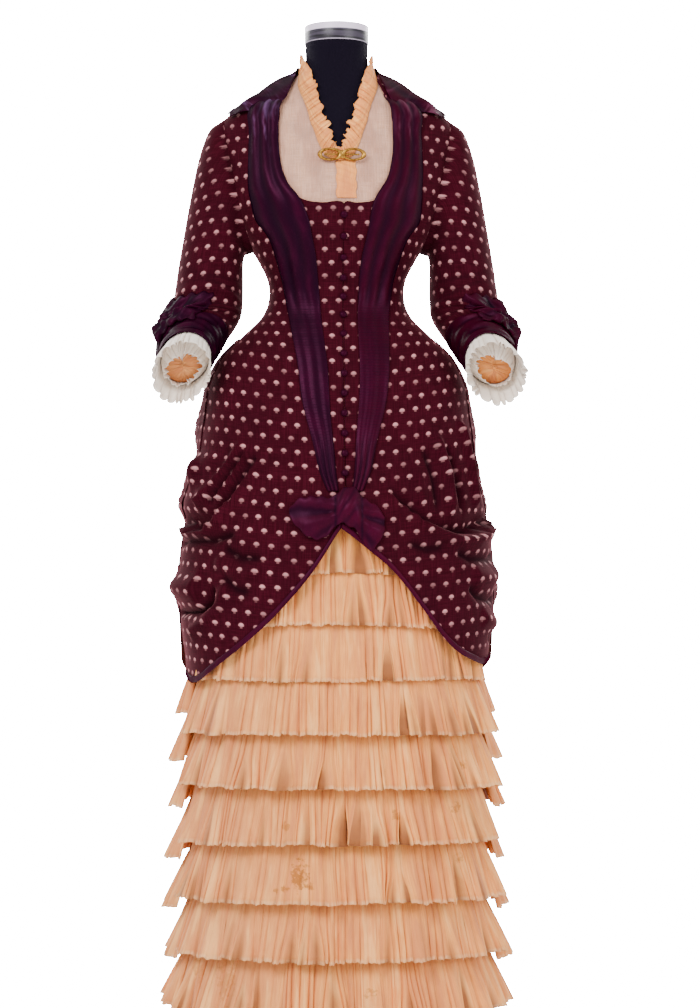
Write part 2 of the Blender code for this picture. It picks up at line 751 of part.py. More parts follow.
def make_collar():
    table = [(i, *row) for i, row in enumerate(COLLAR)]
    run = [(1, s) for s in COLLAR_STATIONS] + [(-1, s) for s in reversed(COLLAR_STATIONS[:-1])]
    rows = []
    for t in between(0.0, 1.0, 4):
        row = []
        for side, along in run:
            in_deg, in_z, out_deg, out_z = smooth_row(table, along)[1:]
            angle = math.radians(in_deg + (out_deg - in_deg) * t)
            if side < 0:
                angle = -angle
            z = in_z + (out_z - in_z) * t
            front = max(0.0, 1.0 - along / 1.5)
            lift = COLLAR_LIFT * max(front, t * t * 0.8)
            row.append(DRESS_BODY.out(angle, z, COLLAR_OUT + lift))
        rows.append(row)
    loft("collar", "satin", rows, SATIN)


def make_revers():
    for side in (-1, 1):
        rows = []
        for z in REVERS_LEVELS:
            inner, outer = smooth_row(sorted(REVERS), z)[1:]
            shift = NECK_SHIFT * min(max((z - 1.15) / 0.05, 0.0), 1.0)
            row = []
            folds = REVERS_FOLDS * 2
            for j in range(folds + 1):
                x = inner + (outer - inner) * j / folds
                crease = REVERS_FOLD * (j % 2) * (0.5 + 0.5 * min(1.0, (z - 0.76) / 0.3))
                angle = DRESS_BODY.angle(side * x + shift, z)
                row.append(DRESS_BODY.out(angle, z, REVERS_OUT + crease))
            rows.append(ordered(side, row))
        loft("revers_" + side_name(side), "satin", rows, SATIN)


def hit_trees(names):
    graph = bpy.context.evaluated_depsgraph_get()
    return [BVHTree.FromObject(bpy.data.objects[name], graph) for name in names]


def surface_hit(trees, x, z):
    """The frontmost point of the pieces at x and z."""
    hits = [tree.ray_cast(Vector((x, -1.0, z)), Vector((0, 1, 0)))[0] for tree in trees]
    return min((hit for hit in hits if hit), key=lambda hit: hit.y, default=None)


def make_placket():
    rows = []
    for z in between(*PLACKET_Z, 4):
        row = []
        for x in between(*PLACKET_X, 2):
            row.append(TORSO_BODY.out(TORSO_BODY.angle(x, z), z, CHEMISETTE_OUT + THIN + 0.0007))
        rows.append(row)
    loft("placket", "peach", rows, THIN)


def make_brooch():
    reach, rise = BROOCH_LOOP
    under = hit_trees(["chemisette", "neck_frill", "placket"])
    spots = [(BROOCH_X + u * reach, BROOCH_Z + v * rise) for u in (-2, -1, 0, 1, 2) for v in (-1, 0, 1)]
    front = min(surface_hit(under, x, z).y for x, z in spots)
    middle = Vector((BROOCH_X, front - BROOCH_DEPTH - 0.0004, BROOCH_Z))
    rings = []
    for side in (-1, 1):
        bpy.ops.mesh.primitive_torus_add(
            location=middle + Vector((side * reach, 0, 0)), rotation=(math.pi / 2, 0, 0),
            major_segments=11, minor_segments=5, major_radius=1.0, minor_radius=0.2)
        ring = bpy.context.object
        for vertex in ring.data.vertices:
            spine = Vector((vertex.co.x, vertex.co.y, 0)).normalized()
            tube = vertex.co - spine
            vertex.co = Vector((spine.x * reach, spine.y * rise, 0)) + tube * (BROOCH_WIRE / 0.2)
        rings.append(ring)
    bpy.ops.mesh.primitive_uv_sphere_add(segments=10, ring_count=6, radius=BROOCH_KNOT, location=middle)
    knot = bpy.context.object
    knot.scale = (1.0, BROOCH_DEPTH / BROOCH_KNOT, 1.2)
    bpy.ops.object.transform_apply(location=False, rotation=False, scale=True)
    for ring in rings:
        union = knot.modifiers.new("Loop", "BOOLEAN")
        union.operation = "UNION"
        union.object = ring
        ring.hide_render = True
        ring.display_type = "WIRE"
        for group in list(ring.users_collection):
            group.objects.unlink(ring)
        CUTTERS.objects.link(ring)
    keep(knot, "brooch", "gold")


def make_buttons():
    fronts = hit_trees(["front_left", "front_right"])
    for i in range(BUTTON_COUNT):
        z = BUTTON_TOP - i * BUTTON_PITCH
        angle = DRESS_BODY.angle(CLOSURE_X, z)
        middle = DRESS_BODY.point(angle, z)
        normal = DRESS_BODY.out(angle, z, 1.0) - middle
        top = 0.0
        for u, v in BUTTON_SPOTS:
            spot = surface_hit(fronts, CLOSURE_X + u * BUTTON_RADIUS, z + v * BUTTON_RADIUS)
            if spot:
                top = max(top, (spot - middle).dot(normal))
        button = turned("button_%02d" % (i + 1), "satin", [
            (0.0, BUTTON_HEIGHT), (BUTTON_RADIUS * 0.62, BUTTON_HEIGHT * 0.86),
            (BUTTON_RADIUS, BUTTON_HEIGHT * 0.42), (BUTTON_RADIUS * 0.8, 0.0), (0.0, 0.0),
        ], 8)
        button.rotation_mode = "QUATERNION"
        button.rotation_quaternion = normal.to_track_quat("Z", "Y")
        button.location = middle + normal * (top + BUTTON_SEAT)


def cutaway(side, angle):
    """Height of the apron's lower edge at an angle from the front."""
    rows = []
    for x, z in CUTAWAY[side]:
        rows.append((DRAPERY_BODY.angle(x, z), z))
    rows.append((SIDE_SEAM, CUTAWAY_BACK[side]))
    return smooth_row(rows, angle)[1]


def lip(angle):
    return smooth_row([(math.radians(a), z) for a, z in LIP], angle)[1]


def drape_point(side, angle, t, offset):
    """A point of the apron: angle from the front, and t from its lip to its edge."""
    low, high = cutaway(side, angle), lip(angle)
    z = high + (low - high) * t
    drop = (high - z)
    pocket = math.exp(-((math.degrees(angle) - 78.0) / 15.0) ** 2)
    roll = LIP_ROLL * pocket * math.exp(-(drop / 0.028) ** 2)
    swag = 0.0
    for k in range(1, 4):
        down = 0.035 * k + 0.0004 * math.degrees(angle)
        swag += 0.004 * math.exp(-((drop - down - 0.02) / 0.011) ** 2)
    swag *= max(0.0, (math.degrees(angle) - 30.0) / 62.0)
    return DRAPERY_BODY.out(side * angle, z, offset + roll + swag)


def apron_angles(side):
    start = DRAPERY_BODY.angle(0.0004, 0.72)
    return between(start, SIDE_SEAM, 9)


def make_apron():
    for side in (-1, 1):
        rows = []
        for t in between(0.0, 1.0, 8):
            rows.append(ordered(side, [drape_point(side, a, t, 0.0) for a in apron_angles(side)]))
        loft("drape_" + side_name(side), "brocade", rows, CLOTH)
        rows = [[], []]
        for a in apron_angles(side)[:-1]:
            height = lip(a) - cutaway(side, a)
            share = min(0.6, BINDING_WIDTH / height)
            rows[0].append(drape_point(side, a, 1.0 - share, CLOTH + BINDING_OUT))
            rows[1].append(drape_point(side, a, 1.0, CLOTH + BINDING_OUT))
        rows = [ordered(side, row) for row in rows]
        loft("hem_band_" + side_name(side), "satin", rows, SATIN)


def puff_start(z):
    """Where the bustle drapery begins: over the fronts above the apron, beside it below."""
    share = min(max((z - 0.748) / 0.045, 0.0), 1.0)
    return math.pi - SIDE_SEAM + math.radians(0.4) - PUFF_LAP * share * share * (3 - 2 * share)


def puff_point(z, across, offset):
    """A point of the drapery: its level, and 0 to 1 from its left edge round the back."""
    start = puff_start(z)
    angle = start + (2 * math.pi - 2 * start) * across
    share = math.sin(math.pi * across)
    level = z
    if z < PUFF_HEM_SIDE + 0.001:
        level += (PUFF_HEM_BACK - PUFF_HEM_SIDE) * share
    elif z < 0.9:
        level -= PUFF_SAG * share
    swell = sum(out * math.exp(-((level - middle) / height) ** 2) for middle, height, out in PUFFS)
    point = DRAPERY_BODY.out(angle, level, offset + swell * (0.45 + 0.55 * share))
    edge = min(across, 1 - across) / PUFF_EDGE
    lap = min(max((z - 0.748) / 0.045, 0.0), 1.0)
    if edge < 1 and lap > 0:
        hug = DRESS_BODY.out(angle, level, PUFF_OUT + offset)
        point = point.lerp(hug, lap * (1 - edge * edge * (3 - 2 * edge)))
    return point


def make_puff():
    rows = []
    for z in PUFF_LEVELS:
        rows.append([puff_point(z, j / PUFF_COLUMNS, 0.0) for j in range(PUFF_COLUMNS + 1)])
    loft("back_puff", "brocade", rows, CLOTH)


def make_front_bow():
    rows = []
    for t in (0.0, 0.5, 1.0):
        row = []
        for x, low, high, lift in FRONT_BOW:
            z = high + (low - high) * t
            crown = 1.0 if t == 0.5 else 0.35
            row.append(DRAPERY_BODY.out(DRAPERY_BODY.angle(x, z), z, FRONT_BOW_OUT + lift * crown))
        rows.append(row)
    loft("front_bow", "satin", rows, SATIN)


def make_underskirt():
    sides = 32
    rows = []
    for z in (UNDERSKIRT_TOP, 0.940, 0.880, 0.800, 0.700, 0.600, 0.510, 0.400, 0.285, 0.130, HEM + 0.004):
        rows.append([SKIRT_BODY.point(2 * math.pi * j / sides, z) for j in range(sides)])
    loft("underskirt", "peach", rows, THIN, ring=True)


def tier(name, hem, start, end, root, flare, wave, phase):
    """One frill: pleats that hang from a straight top edge and open at the hem."""
    top, bottom = [], []
    for i in range(TIER_WAVES):
        for along, lift in PLEAT:
            t = (i + along) / TIER_WAVES
            if i == 0 and along == 0.0:
                t = 0.0
            angle = start + (end - start) * t
            sway = 1 + 0.25 * math.sin(phase + 2.4 * i)
            top.append(SKIRT_BODY.out(angle, hem + TIER_DEPTH, root))
            bottom.append(SKIRT_BODY.out(angle, hem, root + flare + wave * sway * lift))
    top.append(SKIRT_BODY.out(end, hem + TIER_DEPTH, root))
    bottom.append(SKIRT_BODY.out(end, hem, root + flare))
    loft(name, "peach", [top, bottom], THIN)


def make_tiers():
    for i, (hem, degrees, flare, wave) in enumerate(FRONT_TIERS):
        reach = math.radians(degrees)
        root = THIN + FRONT_TIER_OUT
        tier("front_tier_%d" % (i + 1), hem, -reach, reach, root, flare, wave, 1.7 * i)
    for i, (hem, flare, wave) in enumerate(BACK_TIERS):
        end = 2 * math.pi - BACK_TIER_START
        root = THIN + BACK_TIER_OUT
        tier("back_tier_%d" % (i + 1), hem, BACK_TIER_START, end, root, flare, wave, 0.8 + 1.3 * i)


for old in list(bpy.data.objects):
    bpy.data.objects.remove(old, do_unlink=True)
DRESS = bpy.data.collections.new("bustle_dress")
CUTTERS = bpy.data.collections.new("cutters")
for group in (DRESS, CUTTERS):
    bpy.context.scene.collection.children.link(group)

make_form()
make_underskirt()
make_tiers()
make_fronts()
make_backs()
make_chemisette()
make_placket()
make_neck_frill()
make_brooch()
make_revers()
make_collar()
make_sleeves()
make_apron()
make_puff()
make_front_bow()
make_buttons()
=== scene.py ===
# %% [markdown]
# # A looped-up dress of about 1880
# A brocade polonaise, looped up at the hips and over the bustle, lies on a skirt of pleated silk frills.
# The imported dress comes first: its plain solids say where every piece of cloth lies, so each finer piece
# below is laid on the same curves and takes the place of its solid.

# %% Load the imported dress
import json
import math

import bmesh
import bpy
import numpy as np
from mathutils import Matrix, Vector


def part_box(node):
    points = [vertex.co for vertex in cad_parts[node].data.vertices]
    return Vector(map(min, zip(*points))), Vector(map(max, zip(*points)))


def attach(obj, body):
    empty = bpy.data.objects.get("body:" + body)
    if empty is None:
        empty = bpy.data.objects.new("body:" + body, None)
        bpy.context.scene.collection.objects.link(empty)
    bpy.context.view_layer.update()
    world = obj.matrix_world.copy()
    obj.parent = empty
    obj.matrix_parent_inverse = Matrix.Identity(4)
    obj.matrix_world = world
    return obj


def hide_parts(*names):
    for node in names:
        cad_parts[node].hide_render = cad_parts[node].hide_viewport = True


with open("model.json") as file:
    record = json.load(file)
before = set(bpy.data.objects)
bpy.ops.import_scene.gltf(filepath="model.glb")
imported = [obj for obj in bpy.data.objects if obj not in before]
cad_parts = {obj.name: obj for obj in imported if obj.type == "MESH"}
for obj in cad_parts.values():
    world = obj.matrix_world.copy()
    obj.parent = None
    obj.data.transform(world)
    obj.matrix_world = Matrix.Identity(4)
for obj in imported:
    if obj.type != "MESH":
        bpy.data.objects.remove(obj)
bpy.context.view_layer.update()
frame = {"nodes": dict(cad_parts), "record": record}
bpy.ops.object.select_all(action="DESELECT")
print("solids to dress:", len(frame["nodes"]))

# %% [markdown]
# ## The figure's curves
# A dressmaker works over a form, and so does this scene. A body is a stack of rounded sections, each with a
# half width, a front depth and a back depth. Any point of cloth is then named by the angle round the figure
# (0 in front, positive to the wearer's left), its height, and how far it stands off the surface.

# %% The stacked sections
TORSO = [
    (0.800, 0.138, 0.092, 0.098), (0.815, 0.150, 0.100, 0.108), (0.850, 0.158, 0.105, 0.115),
    (0.900, 0.155, 0.103, 0.113), (0.950, 0.141, 0.096, 0.102), (0.992, 0.119, 0.086, 0.087),
    (1.021, 0.1015, 0.079, 0.076), (1.050, 0.0927, 0.075, 0.070), (1.079, 0.0948, 0.080, 0.072),
    (1.108, 0.1086, 0.092, 0.077), (1.150, 0.1340, 0.108, 0.084), (1.185, 0.1480, 0.113, 0.088),
    (1.215, 0.1570, 0.107, 0.089), (1.250, 0.1640, 0.093, 0.087), (1.280, 0.1665, 0.080, 0.084),
    (1.300, 0.1640, 0.072, 0.079), (1.316, 0.1510, 0.066, 0.073), (1.334, 0.1140, 0.059, 0.066),
    (1.3515, 0.0860, 0.054, 0.060), (1.3695, 0.0620, 0.050, 0.055), (1.388, 0.0490, 0.048, 0.050),
    (1.424, 0.0460, 0.0460, 0.0460),
]
HIP = [
    (0.690, 0.2010, 0.1560, 0.2400), (0.760, 0.1985, 0.1480, 0.2350), (0.800, 0.1965, 0.1395, 0.2300),
    (0.847, 0.1935, 0.1315, 0.2200), (0.876, 0.1890, 0.1260, 0.2100), (0.905, 0.1860, 0.1200, 0.1950),
    (0.9195, 0.1840, 0.1165, 0.1830), (0.934, 0.1780, 0.1130, 0.1680), (0.963, 0.1620, 0.1045, 0.1350),
    (0.992, 0.1330, 0.0930, 0.1030), (1.021, 0.1040, 0.0800, 0.0780),
]
UNDERSKIRT = [
    (0.034, 0.2120, 0.1760, 0.2550), (0.100, 0.2100, 0.1740, 0.2500), (0.300, 0.2050, 0.1680, 0.2380),
    (0.500, 0.1990, 0.1580, 0.2220), (0.650, 0.1900, 0.1430, 0.2060), (0.750, 0.1820, 0.1310, 0.1900),
    (0.850, 0.1710, 0.1160, 0.1600), (0.900, 0.1630, 0.1080, 0.1370), (0.950, 0.1450, 0.0985, 0.1080),
    (0.995, 0.1170, 0.0850, 0.0858),
]
DRAPERY = [
    (0.440, 0.2230, 0.1850, 0.2590), (0.500, 0.2215, 0.1830, 0.2590), (0.530, 0.2215, 0.1800, 0.2620),
    (0.560, 0.2230, 0.1770, 0.2660), (0.600, 0.2250, 0.1730, 0.2700), (0.640, 0.2260, 0.1690, 0.2760),
    (0.690, 0.2230, 0.1640, 0.2720), (0.720, 0.2180, 0.1600, 0.2660), (0.760, 0.2080, 0.1550, 0.2640),
    (0.800, 0.2035, 0.1460, 0.2600), (0.860, 0.1985, 0.1350, 0.2480), (0.905, 0.1925, 0.1265, 0.2180),
    (0.934, 0.1885, 0.1225, 0.1900), (0.963, 0.1715, 0.1140, 0.1530), (0.990, 0.1440, 0.1030, 0.1200),
]


def read_table(table, at):
    """Read the columns of a table at any places of its first column, on a smooth curve."""
    rows = np.array(table, dtype=float)
    keys, values = rows[:, 0], rows[:, 1:]
    slopes = np.gradient(values, keys, axis=0)
    at = np.clip(np.asarray(at, dtype=float), keys[0], keys[-1])
    low = np.clip(np.searchsorted(keys, at) - 1, 0, len(keys) - 2)
    step = (keys[low + 1] - keys[low])[..., None]
    t = (at - keys[low])[..., None] / step
    ends = values[low] * (1 + 2 * t) * (1 - t) ** 2 + values[low + 1] * t * t * (3 - 2 * t)
    return ends + (slopes[low] * t * (1 - t) ** 2 - slopes[low + 1] * t * t * (1 - t)) * step


class Body:
    """A stack of rounded sections that cloth lies on."""

    def __init__(self, rows, square=2.2):
        self.rows = sorted(rows)
        self.power = 2.0 / square

    def point(self, angle, z):
        angle, z = np.broadcast_arrays(np.asarray(angle, dtype=float), np.asarray(z, dtype=float))
        half, front, back = np.moveaxis(read_table(self.rows, z), -1, 0)
        s, c = np.sin(angle), np.cos(angle)
        x = half * np.sign(s) * np.abs(s) ** self.power
        y = -np.where(c > 0, front, back) * np.sign(c) * np.abs(c) ** self.power
        return np.stack([x, y, z], axis=-1)

    def out(self, angle, z, offset):
        around = self.point(angle + 0.01, z) - self.point(angle - 0.01, z)
        up = self.point(angle, z + 0.002) - self.point(angle, z - 0.002)
        normal = np.cross(around, up)
        normal /= np.linalg.norm(normal, axis=-1, keepdims=True)
        return self.point(angle, z) + normal * np.broadcast_to(offset, normal.shape[:-1])[..., None]

    def angle(self, x, z):
        half = read_table(self.rows, z)[..., 0]
        ratio = np.minimum(np.abs(x) / half, 1.0)
        return np.sign(x) * np.arcsin(ratio ** (1.0 / self.power))

    def laid_flat(self, angle, z, middle=0.0, level=1.05):
        """How far round from a middle and up from a level a point lies, measured on the cloth."""
        turns, levels = np.linspace(-math.pi, 2 * math.pi, 541), np.linspace(0.0, 1.45, 291)
        grid = self.point(turns[None, :], levels[:, None])
        around = np.zeros(grid.shape[:2])
        around[:, 1:] = np.cumsum(np.linalg.norm(np.diff(grid, axis=1), axis=2), axis=1)
        around -= around[:, [round((middle - turns[0]) / (turns[1] - turns[0]))]]
        up = np.zeros(grid.shape[:2])
        up[1:] = np.cumsum(np.linalg.norm(np.diff(grid, axis=0), axis=2), axis=0)
        up -= up[[round(level / (levels[1] - levels[0]))]]
        i = np.clip((z - levels[0]) / (levels[1] - levels[0]), 0, len(levels) - 1.001)
        j = np.clip((angle - turns[0]) / (turns[1] - turns[0]), 0, len(turns) - 1.001)
        a, b = i.astype(int), j.astype(int)
        s, t = i - a, j - b
        mixed = [
            (part[a, b] * (1 - s) + part[a + 1, b] * s) * (1 - t)
            + (part[a, b + 1] * (1 - s) + part[a + 1, b + 1] * s) * t for part in (around, up)
        ]
        return np.stack(mixed, axis=-1)


TORSO_BODY = Body(TORSO)
DRESS_BODY = Body(HIP + [row for row in TORSO if row[0] >= 1.05])
SKIRT_BODY = Body(UNDERSKIRT)
DRAPERY_BODY = Body(DRAPERY)
SIDE_SEAM = math.radians(89.86)
SIDES = {1: "left", -1: "right"}
print("waist, half width and depths:", read_table(TORSO, 1.05))


def smooth(low, high, at):
    """A soft step from 0 at low to 1 at high."""
    t = np.clip((at - low) / (high - low), 0.0, 1.0)
    return t * t * (3 - 2 * t)


# %% [markdown]
# ## Nodes by hand
# A weave or a chart of motifs is sums and products of the cloth's own measure, so many math nodes are
# needed. A small bench puts nodes on one tree and joins them: any input may be a number or another node's
# output. It keeps the recipes below as short as they would be on paper.

# %% A bench for nodes
class Bench:
    def __init__(self, tree):
        self.tree = tree

    def feed(self, socket, value):
        if isinstance(value, bpy.types.NodeSocket):
            self.tree.links.new(value, socket)
        else:
            socket.default_value = value

    def put(self, kind, settings, feeds):
        node = self.tree.nodes.new(kind)
        for key, value in settings.items():
            setattr(node, key, value)
        for key, value in feeds.items():
            self.feed(node.inputs[key], value)
        return node

    def maths(self, operation, *values):
        node = self.tree.nodes.new("ShaderNodeMath")
        node.operation = operation
        for socket, value in zip(node.inputs, values):
            self.feed(socket, value)
        return node.outputs[0]

    def step(self, value, low, high, start=0.0, end=1.0):
        node = self.put("ShaderNodeMapRange", {"interpolation_type": "SMOOTHSTEP"}, {"Value": value})
        for key, number in (("From Min", low), ("From Max", high), ("To Min", start), ("To Max", end)):
            self.feed(node.inputs[key], number)
        return node.outputs["Result"]

    def blend(self, share, first, second, way="MIX"):
        settings = {"data_type": "RGBA", "blend_type": way}
        return self.put("ShaderNodeMix", settings, {0: share, 6: first, 7: second}).outputs[2]

    def noise(self, vector, scale, detail=2.0, roughness=0.5):
        feeds = {"Vector": vector, "Scale": scale, "Detail": detail, "Roughness": roughness}
        return self.put("ShaderNodeTexNoise", {}, feeds).outputs[0]

    def stretch(self, vector, scale):
        return self.put("ShaderNodeMapping", {}, {"Vector": vector, "Scale": scale}).outputs[0]

    def parts(self, vector):
        return self.put("ShaderNodeSeparateXYZ", {}, {"Vector": vector}).outputs


def make_group(name, inputs, outputs):
    tree = bpy.data.node_groups.new(name, "ShaderNodeTree")
    for label, kind, value in inputs:
        socket = tree.interface.new_socket(name=label, in_out="INPUT", socket_type=kind)
        if value is not None:
            socket.default_value = value
    for label, kind in outputs:
        tree.interface.new_socket(name=label, in_out="OUTPUT", socket_type=kind)
    entry, leave = tree.nodes.new("NodeGroupInput"), tree.nodes.new("NodeGroupOutput")
    return tree, Bench(tree), entry, leave


# %% [markdown]
# ## Threads
# Every cloth here is warp and weft. The weave group reads the piece's own flat measure in metres and gives
# the height of the crossing threads and slubs, thicker places in hand-reeled silk, that run along the
# threads. It is built once, and each cloth sets its own thread count.

# %% The weave
FLOAT, VECTOR, COLOUR = "NodeSocketFloat", "NodeSocketVector", "NodeSocketColor"
weave, bench, entry, leave = make_group(
    "weave",
    [("Cloth", VECTOR, None), ("Threads", FLOAT, 900.0), ("Slub", FLOAT, 0.5)],
    [("Height", FLOAT), ("Slubs", FLOAT)],
)
across, up, _ = bench.parts(entry.outputs["Cloth"])
turn = bench.maths("MULTIPLY", entry.outputs["Threads"], 2 * math.pi)
warp = bench.maths("SINE", bench.maths("MULTIPLY", across, turn))
weft = bench.maths("SINE", bench.maths("MULTIPLY", up, turn))
crossing = bench.maths("MULTIPLY_ADD", bench.maths("MULTIPLY", warp, weft), 0.5, 0.5)
long_warp = bench.noise(bench.stretch(entry.outputs["Cloth"], (900.0, 30.0, 1.0)), 1.0, 2.0)
long_weft = bench.noise(bench.stretch(entry.outputs["Cloth"], (40.0, 1100.0, 1.0)), 1.0, 2.0)
slubs = bench.maths("MULTIPLY_ADD", bench.maths("SUBTRACT", long_warp, long_weft), 1.0, 0.5)
mixed = bench.put("ShaderNodeMix", {"data_type": "FLOAT"}, {0: entry.outputs["Slub"], 2: crossing, 3: slubs})
bench.feed(leave.inputs["Height"], mixed.outputs[0])
bench.feed(leave.inputs["Slubs"], slubs)
print("weave group:", len(weave.nodes), "nodes")

# %% [markdown]
# ## Age and painted crease shade
# Silk of this age has faded unevenly. The group takes a colour, mottles it broadly in the room's own
# measure, and darkens it with painted shade where the piece's groove value says that two folds meet. The
# groove value is stored on each piece when it is folded.

# %% The fading and painted crease shade
fading_and_crease_shade, bench, entry, leave = make_group(
    "fading_and_crease_shade",
    [("Colour", COLOUR, (0.5, 0.5, 0.5, 1.0)), ("Deep", COLOUR, (0.1, 0.1, 0.1, 1.0)),
     ("Groove", FLOAT, 0.0), ("Mottle", FLOAT, 0.2), ("Size", FLOAT, 30.0)],
    [("Colour", COLOUR)],
)
place = bench.put("ShaderNodeTexCoord", {}, {}).outputs["Object"]
patches = bench.noise(place, entry.outputs["Size"], 3.0, 0.6)
amount = bench.maths("MULTIPLY", bench.step(patches, 0.35, 0.70), entry.outputs["Mottle"])
faded = bench.blend(amount, entry.outputs["Colour"], entry.outputs["Deep"])
# Painted shade: the groove value blends in the Deep colour where folds meet.
bench.feed(leave.inputs["Colour"], bench.blend(entry.outputs["Groove"], faded, entry.outputs["Deep"]))
print("ageing group:", len(fading_and_crease_shade.nodes), "nodes")


def finish_of(name, roughness, metallic=0.0, sheen=0.0, sheen_tint=(1, 1, 1, 1), sheen_rough=0.5,
              specular=0.5, tint=(1, 1, 1, 1)):
    """A new material with its even values on the shader's own sockets."""
    made = bpy.data.materials.new(name)
    made.use_nodes = True
    shader = made.node_tree.nodes["Principled BSDF"]
    values = {
        "Roughness": roughness, "Metallic": metallic, "Sheen Weight": sheen, "Sheen Tint": sheen_tint,
        "Sheen Roughness": sheen_rough, "Specular IOR Level": specular, "Specular Tint": tint,
    }
    for key, value in values.items():
        shader.inputs[key].default_value = value
    return made, Bench(made.node_tree), shader


def cloth_measure(bench):
    return bench.put("ShaderNodeUVMap", {"uv_map": "cloth"}, {}).outputs[0]


def groove_value(bench):
    return bench.put("ShaderNodeAttribute", {"attribute_name": "groove"}, {}).outputs["Fac"]


def woven(bench, threads, slub):
    made = bench.put("ShaderNodeGroup", {"node_tree": weave}, {"Cloth": cloth_measure(bench)})
    made.inputs["Threads"].default_value = threads
    made.inputs["Slub"].default_value = slub
    return made.outputs["Height"], made.outputs["Slubs"]


def faded_and_shaded(bench, colour, deep, groove, mottle, size):
    feeds = {"Colour": colour, "Deep": deep, "Groove": groove, "Mottle": mottle, "Size": size}
    return bench.put("ShaderNodeGroup", {"node_tree": fading_and_crease_shade}, feeds).outputs["Colour"]


def raise_bump(bench, shader, height, distance, strength=1.0):
    bump = bench.put("ShaderNodeBump", {}, {"Height": height, "Distance": distance, "Strength": strength})
    bench.feed(shader.inputs["Normal"], bump.outputs[0])


# %% [markdown]
# ## Brocade
# The polonaise is a dark burgundy silk with a small pale figure, a low dome on a short stem, woven in a half
# drop: every second row moves along by half a repeat. The figure is charted with plain arithmetic in the
# cloth's flat measure, so it follows the folds and is cut by the seams as real brocade is. Each figure has
# its own strength, because wear has rubbed some of them.

# %% The brocade
REPEAT_ACROSS, REPEAT_UP = 0.0196, 0.0193
brocade, bench, shader = finish_of("brocade", 0.55, sheen=0.22, sheen_tint=(1.0, 0.30, 0.36, 1),
                                   sheen_rough=0.30, specular=0.06, tint=(0.90, 0.34, 0.42, 1))
across, up, _ = bench.parts(cloth_measure(bench))
columns = bench.maths("DIVIDE", across, REPEAT_ACROSS)
rows = bench.maths("DIVIDE", up, REPEAT_UP)
row = bench.maths("FLOOR", rows)
shifted = bench.maths("MULTIPLY_ADD", bench.maths("FLOORED_MODULO", row, 2.0), 0.5, columns)
cell = bench.maths("FLOOR", shifted)
pair = bench.put("ShaderNodeCombineXYZ", {}, {"X": cell, "Y": row}).outputs[0]
rubbed = bench.put("ShaderNodeTexWhiteNoise", {"noise_dimensions": "2D"}, {"Vector": pair}).outputs
drift_x, drift_y, _ = bench.parts(bench.put("ShaderNodeVectorMath", {"operation": "SCALE"}, {
    0: rubbed["Color"], "Scale": 0.0016}).outputs[0])
across_cell = bench.maths("SUBTRACT", bench.maths("SUBTRACT", shifted, cell), 0.5)
up_cell = bench.maths("SUBTRACT", bench.maths("SUBTRACT", rows, row), 0.5)
x = bench.maths("MULTIPLY_ADD", across_cell, REPEAT_ACROSS, bench.maths("SUBTRACT", drift_x, 0.0008))
y = bench.maths("MULTIPLY_ADD", up_cell, REPEAT_UP, bench.maths("SUBTRACT", drift_y, 0.0008))
dome_up = bench.maths("GREATER_THAN", y, -0.0008)
reach = bench.maths("MULTIPLY_ADD", dome_up, 1 / 0.0040 - 1 / 0.0016, 1 / 0.0016)
dome_x = bench.maths("POWER", bench.maths("DIVIDE", x, 0.0041), 2.0)
dome_y = bench.maths("POWER", bench.maths("MULTIPLY", bench.maths("ADD", y, 0.0008), reach), 2.0)
dome = bench.step(bench.maths("ADD", dome_x, dome_y), 1.45, 0.30)
stem_x = bench.maths("DIVIDE", bench.maths("ABSOLUTE", x), 0.0017)
stem_y = bench.maths("DIVIDE", bench.maths("ABSOLUTE", bench.maths("ADD", y, 0.0030)), 0.0016)
stem = bench.step(bench.maths("MAXIMUM", stem_x, stem_y), 1.2, 0.8)
figure = bench.maths("MAXIMUM", bench.maths("MULTIPLY", dome, bench.step(y, -0.003, 0.003, 0.45, 1.0)),
                     bench.maths("MULTIPLY", stem, 0.24))
height, slubs = woven(bench, 700.0, 0.55)
worn = bench.step(slubs, 0.15, 0.55, 0.72, 1.0)
kept = bench.step(rubbed["Value"], 0.0, 1.0, 0.42, 1.0)
strength = bench.maths("MULTIPLY", figure, bench.maths("MULTIPLY", worn, kept))
ground = bench.blend(bench.step(slubs, 0.30, 0.75), (0.0200, 0.0009, 0.0034, 1), (0.0390, 0.0026, 0.0080, 1))
figured = bench.blend(strength, ground, (0.62, 0.27, 0.285, 1))
groove = groove_value(bench)
# Faded patches, and painted shade where the groove value marks folds, seams and pockets.
bench.feed(shader.inputs["Base Color"], faded_and_shaded(bench, figured, (0.009, 0.0010, 0.0028, 1), groove, 0.30, 24.0))
bench.feed(shader.inputs["Roughness"], bench.step(figure, 0.0, 1.0, 0.85, 0.60))
raise_bump(bench, shader, bench.maths("ADD", bench.maths("MULTIPLY", height, 0.35), figure), 0.00016)
print("brocade repeat, mm:", REPEAT_ACROSS * 1000, REPEAT_UP * 1000)
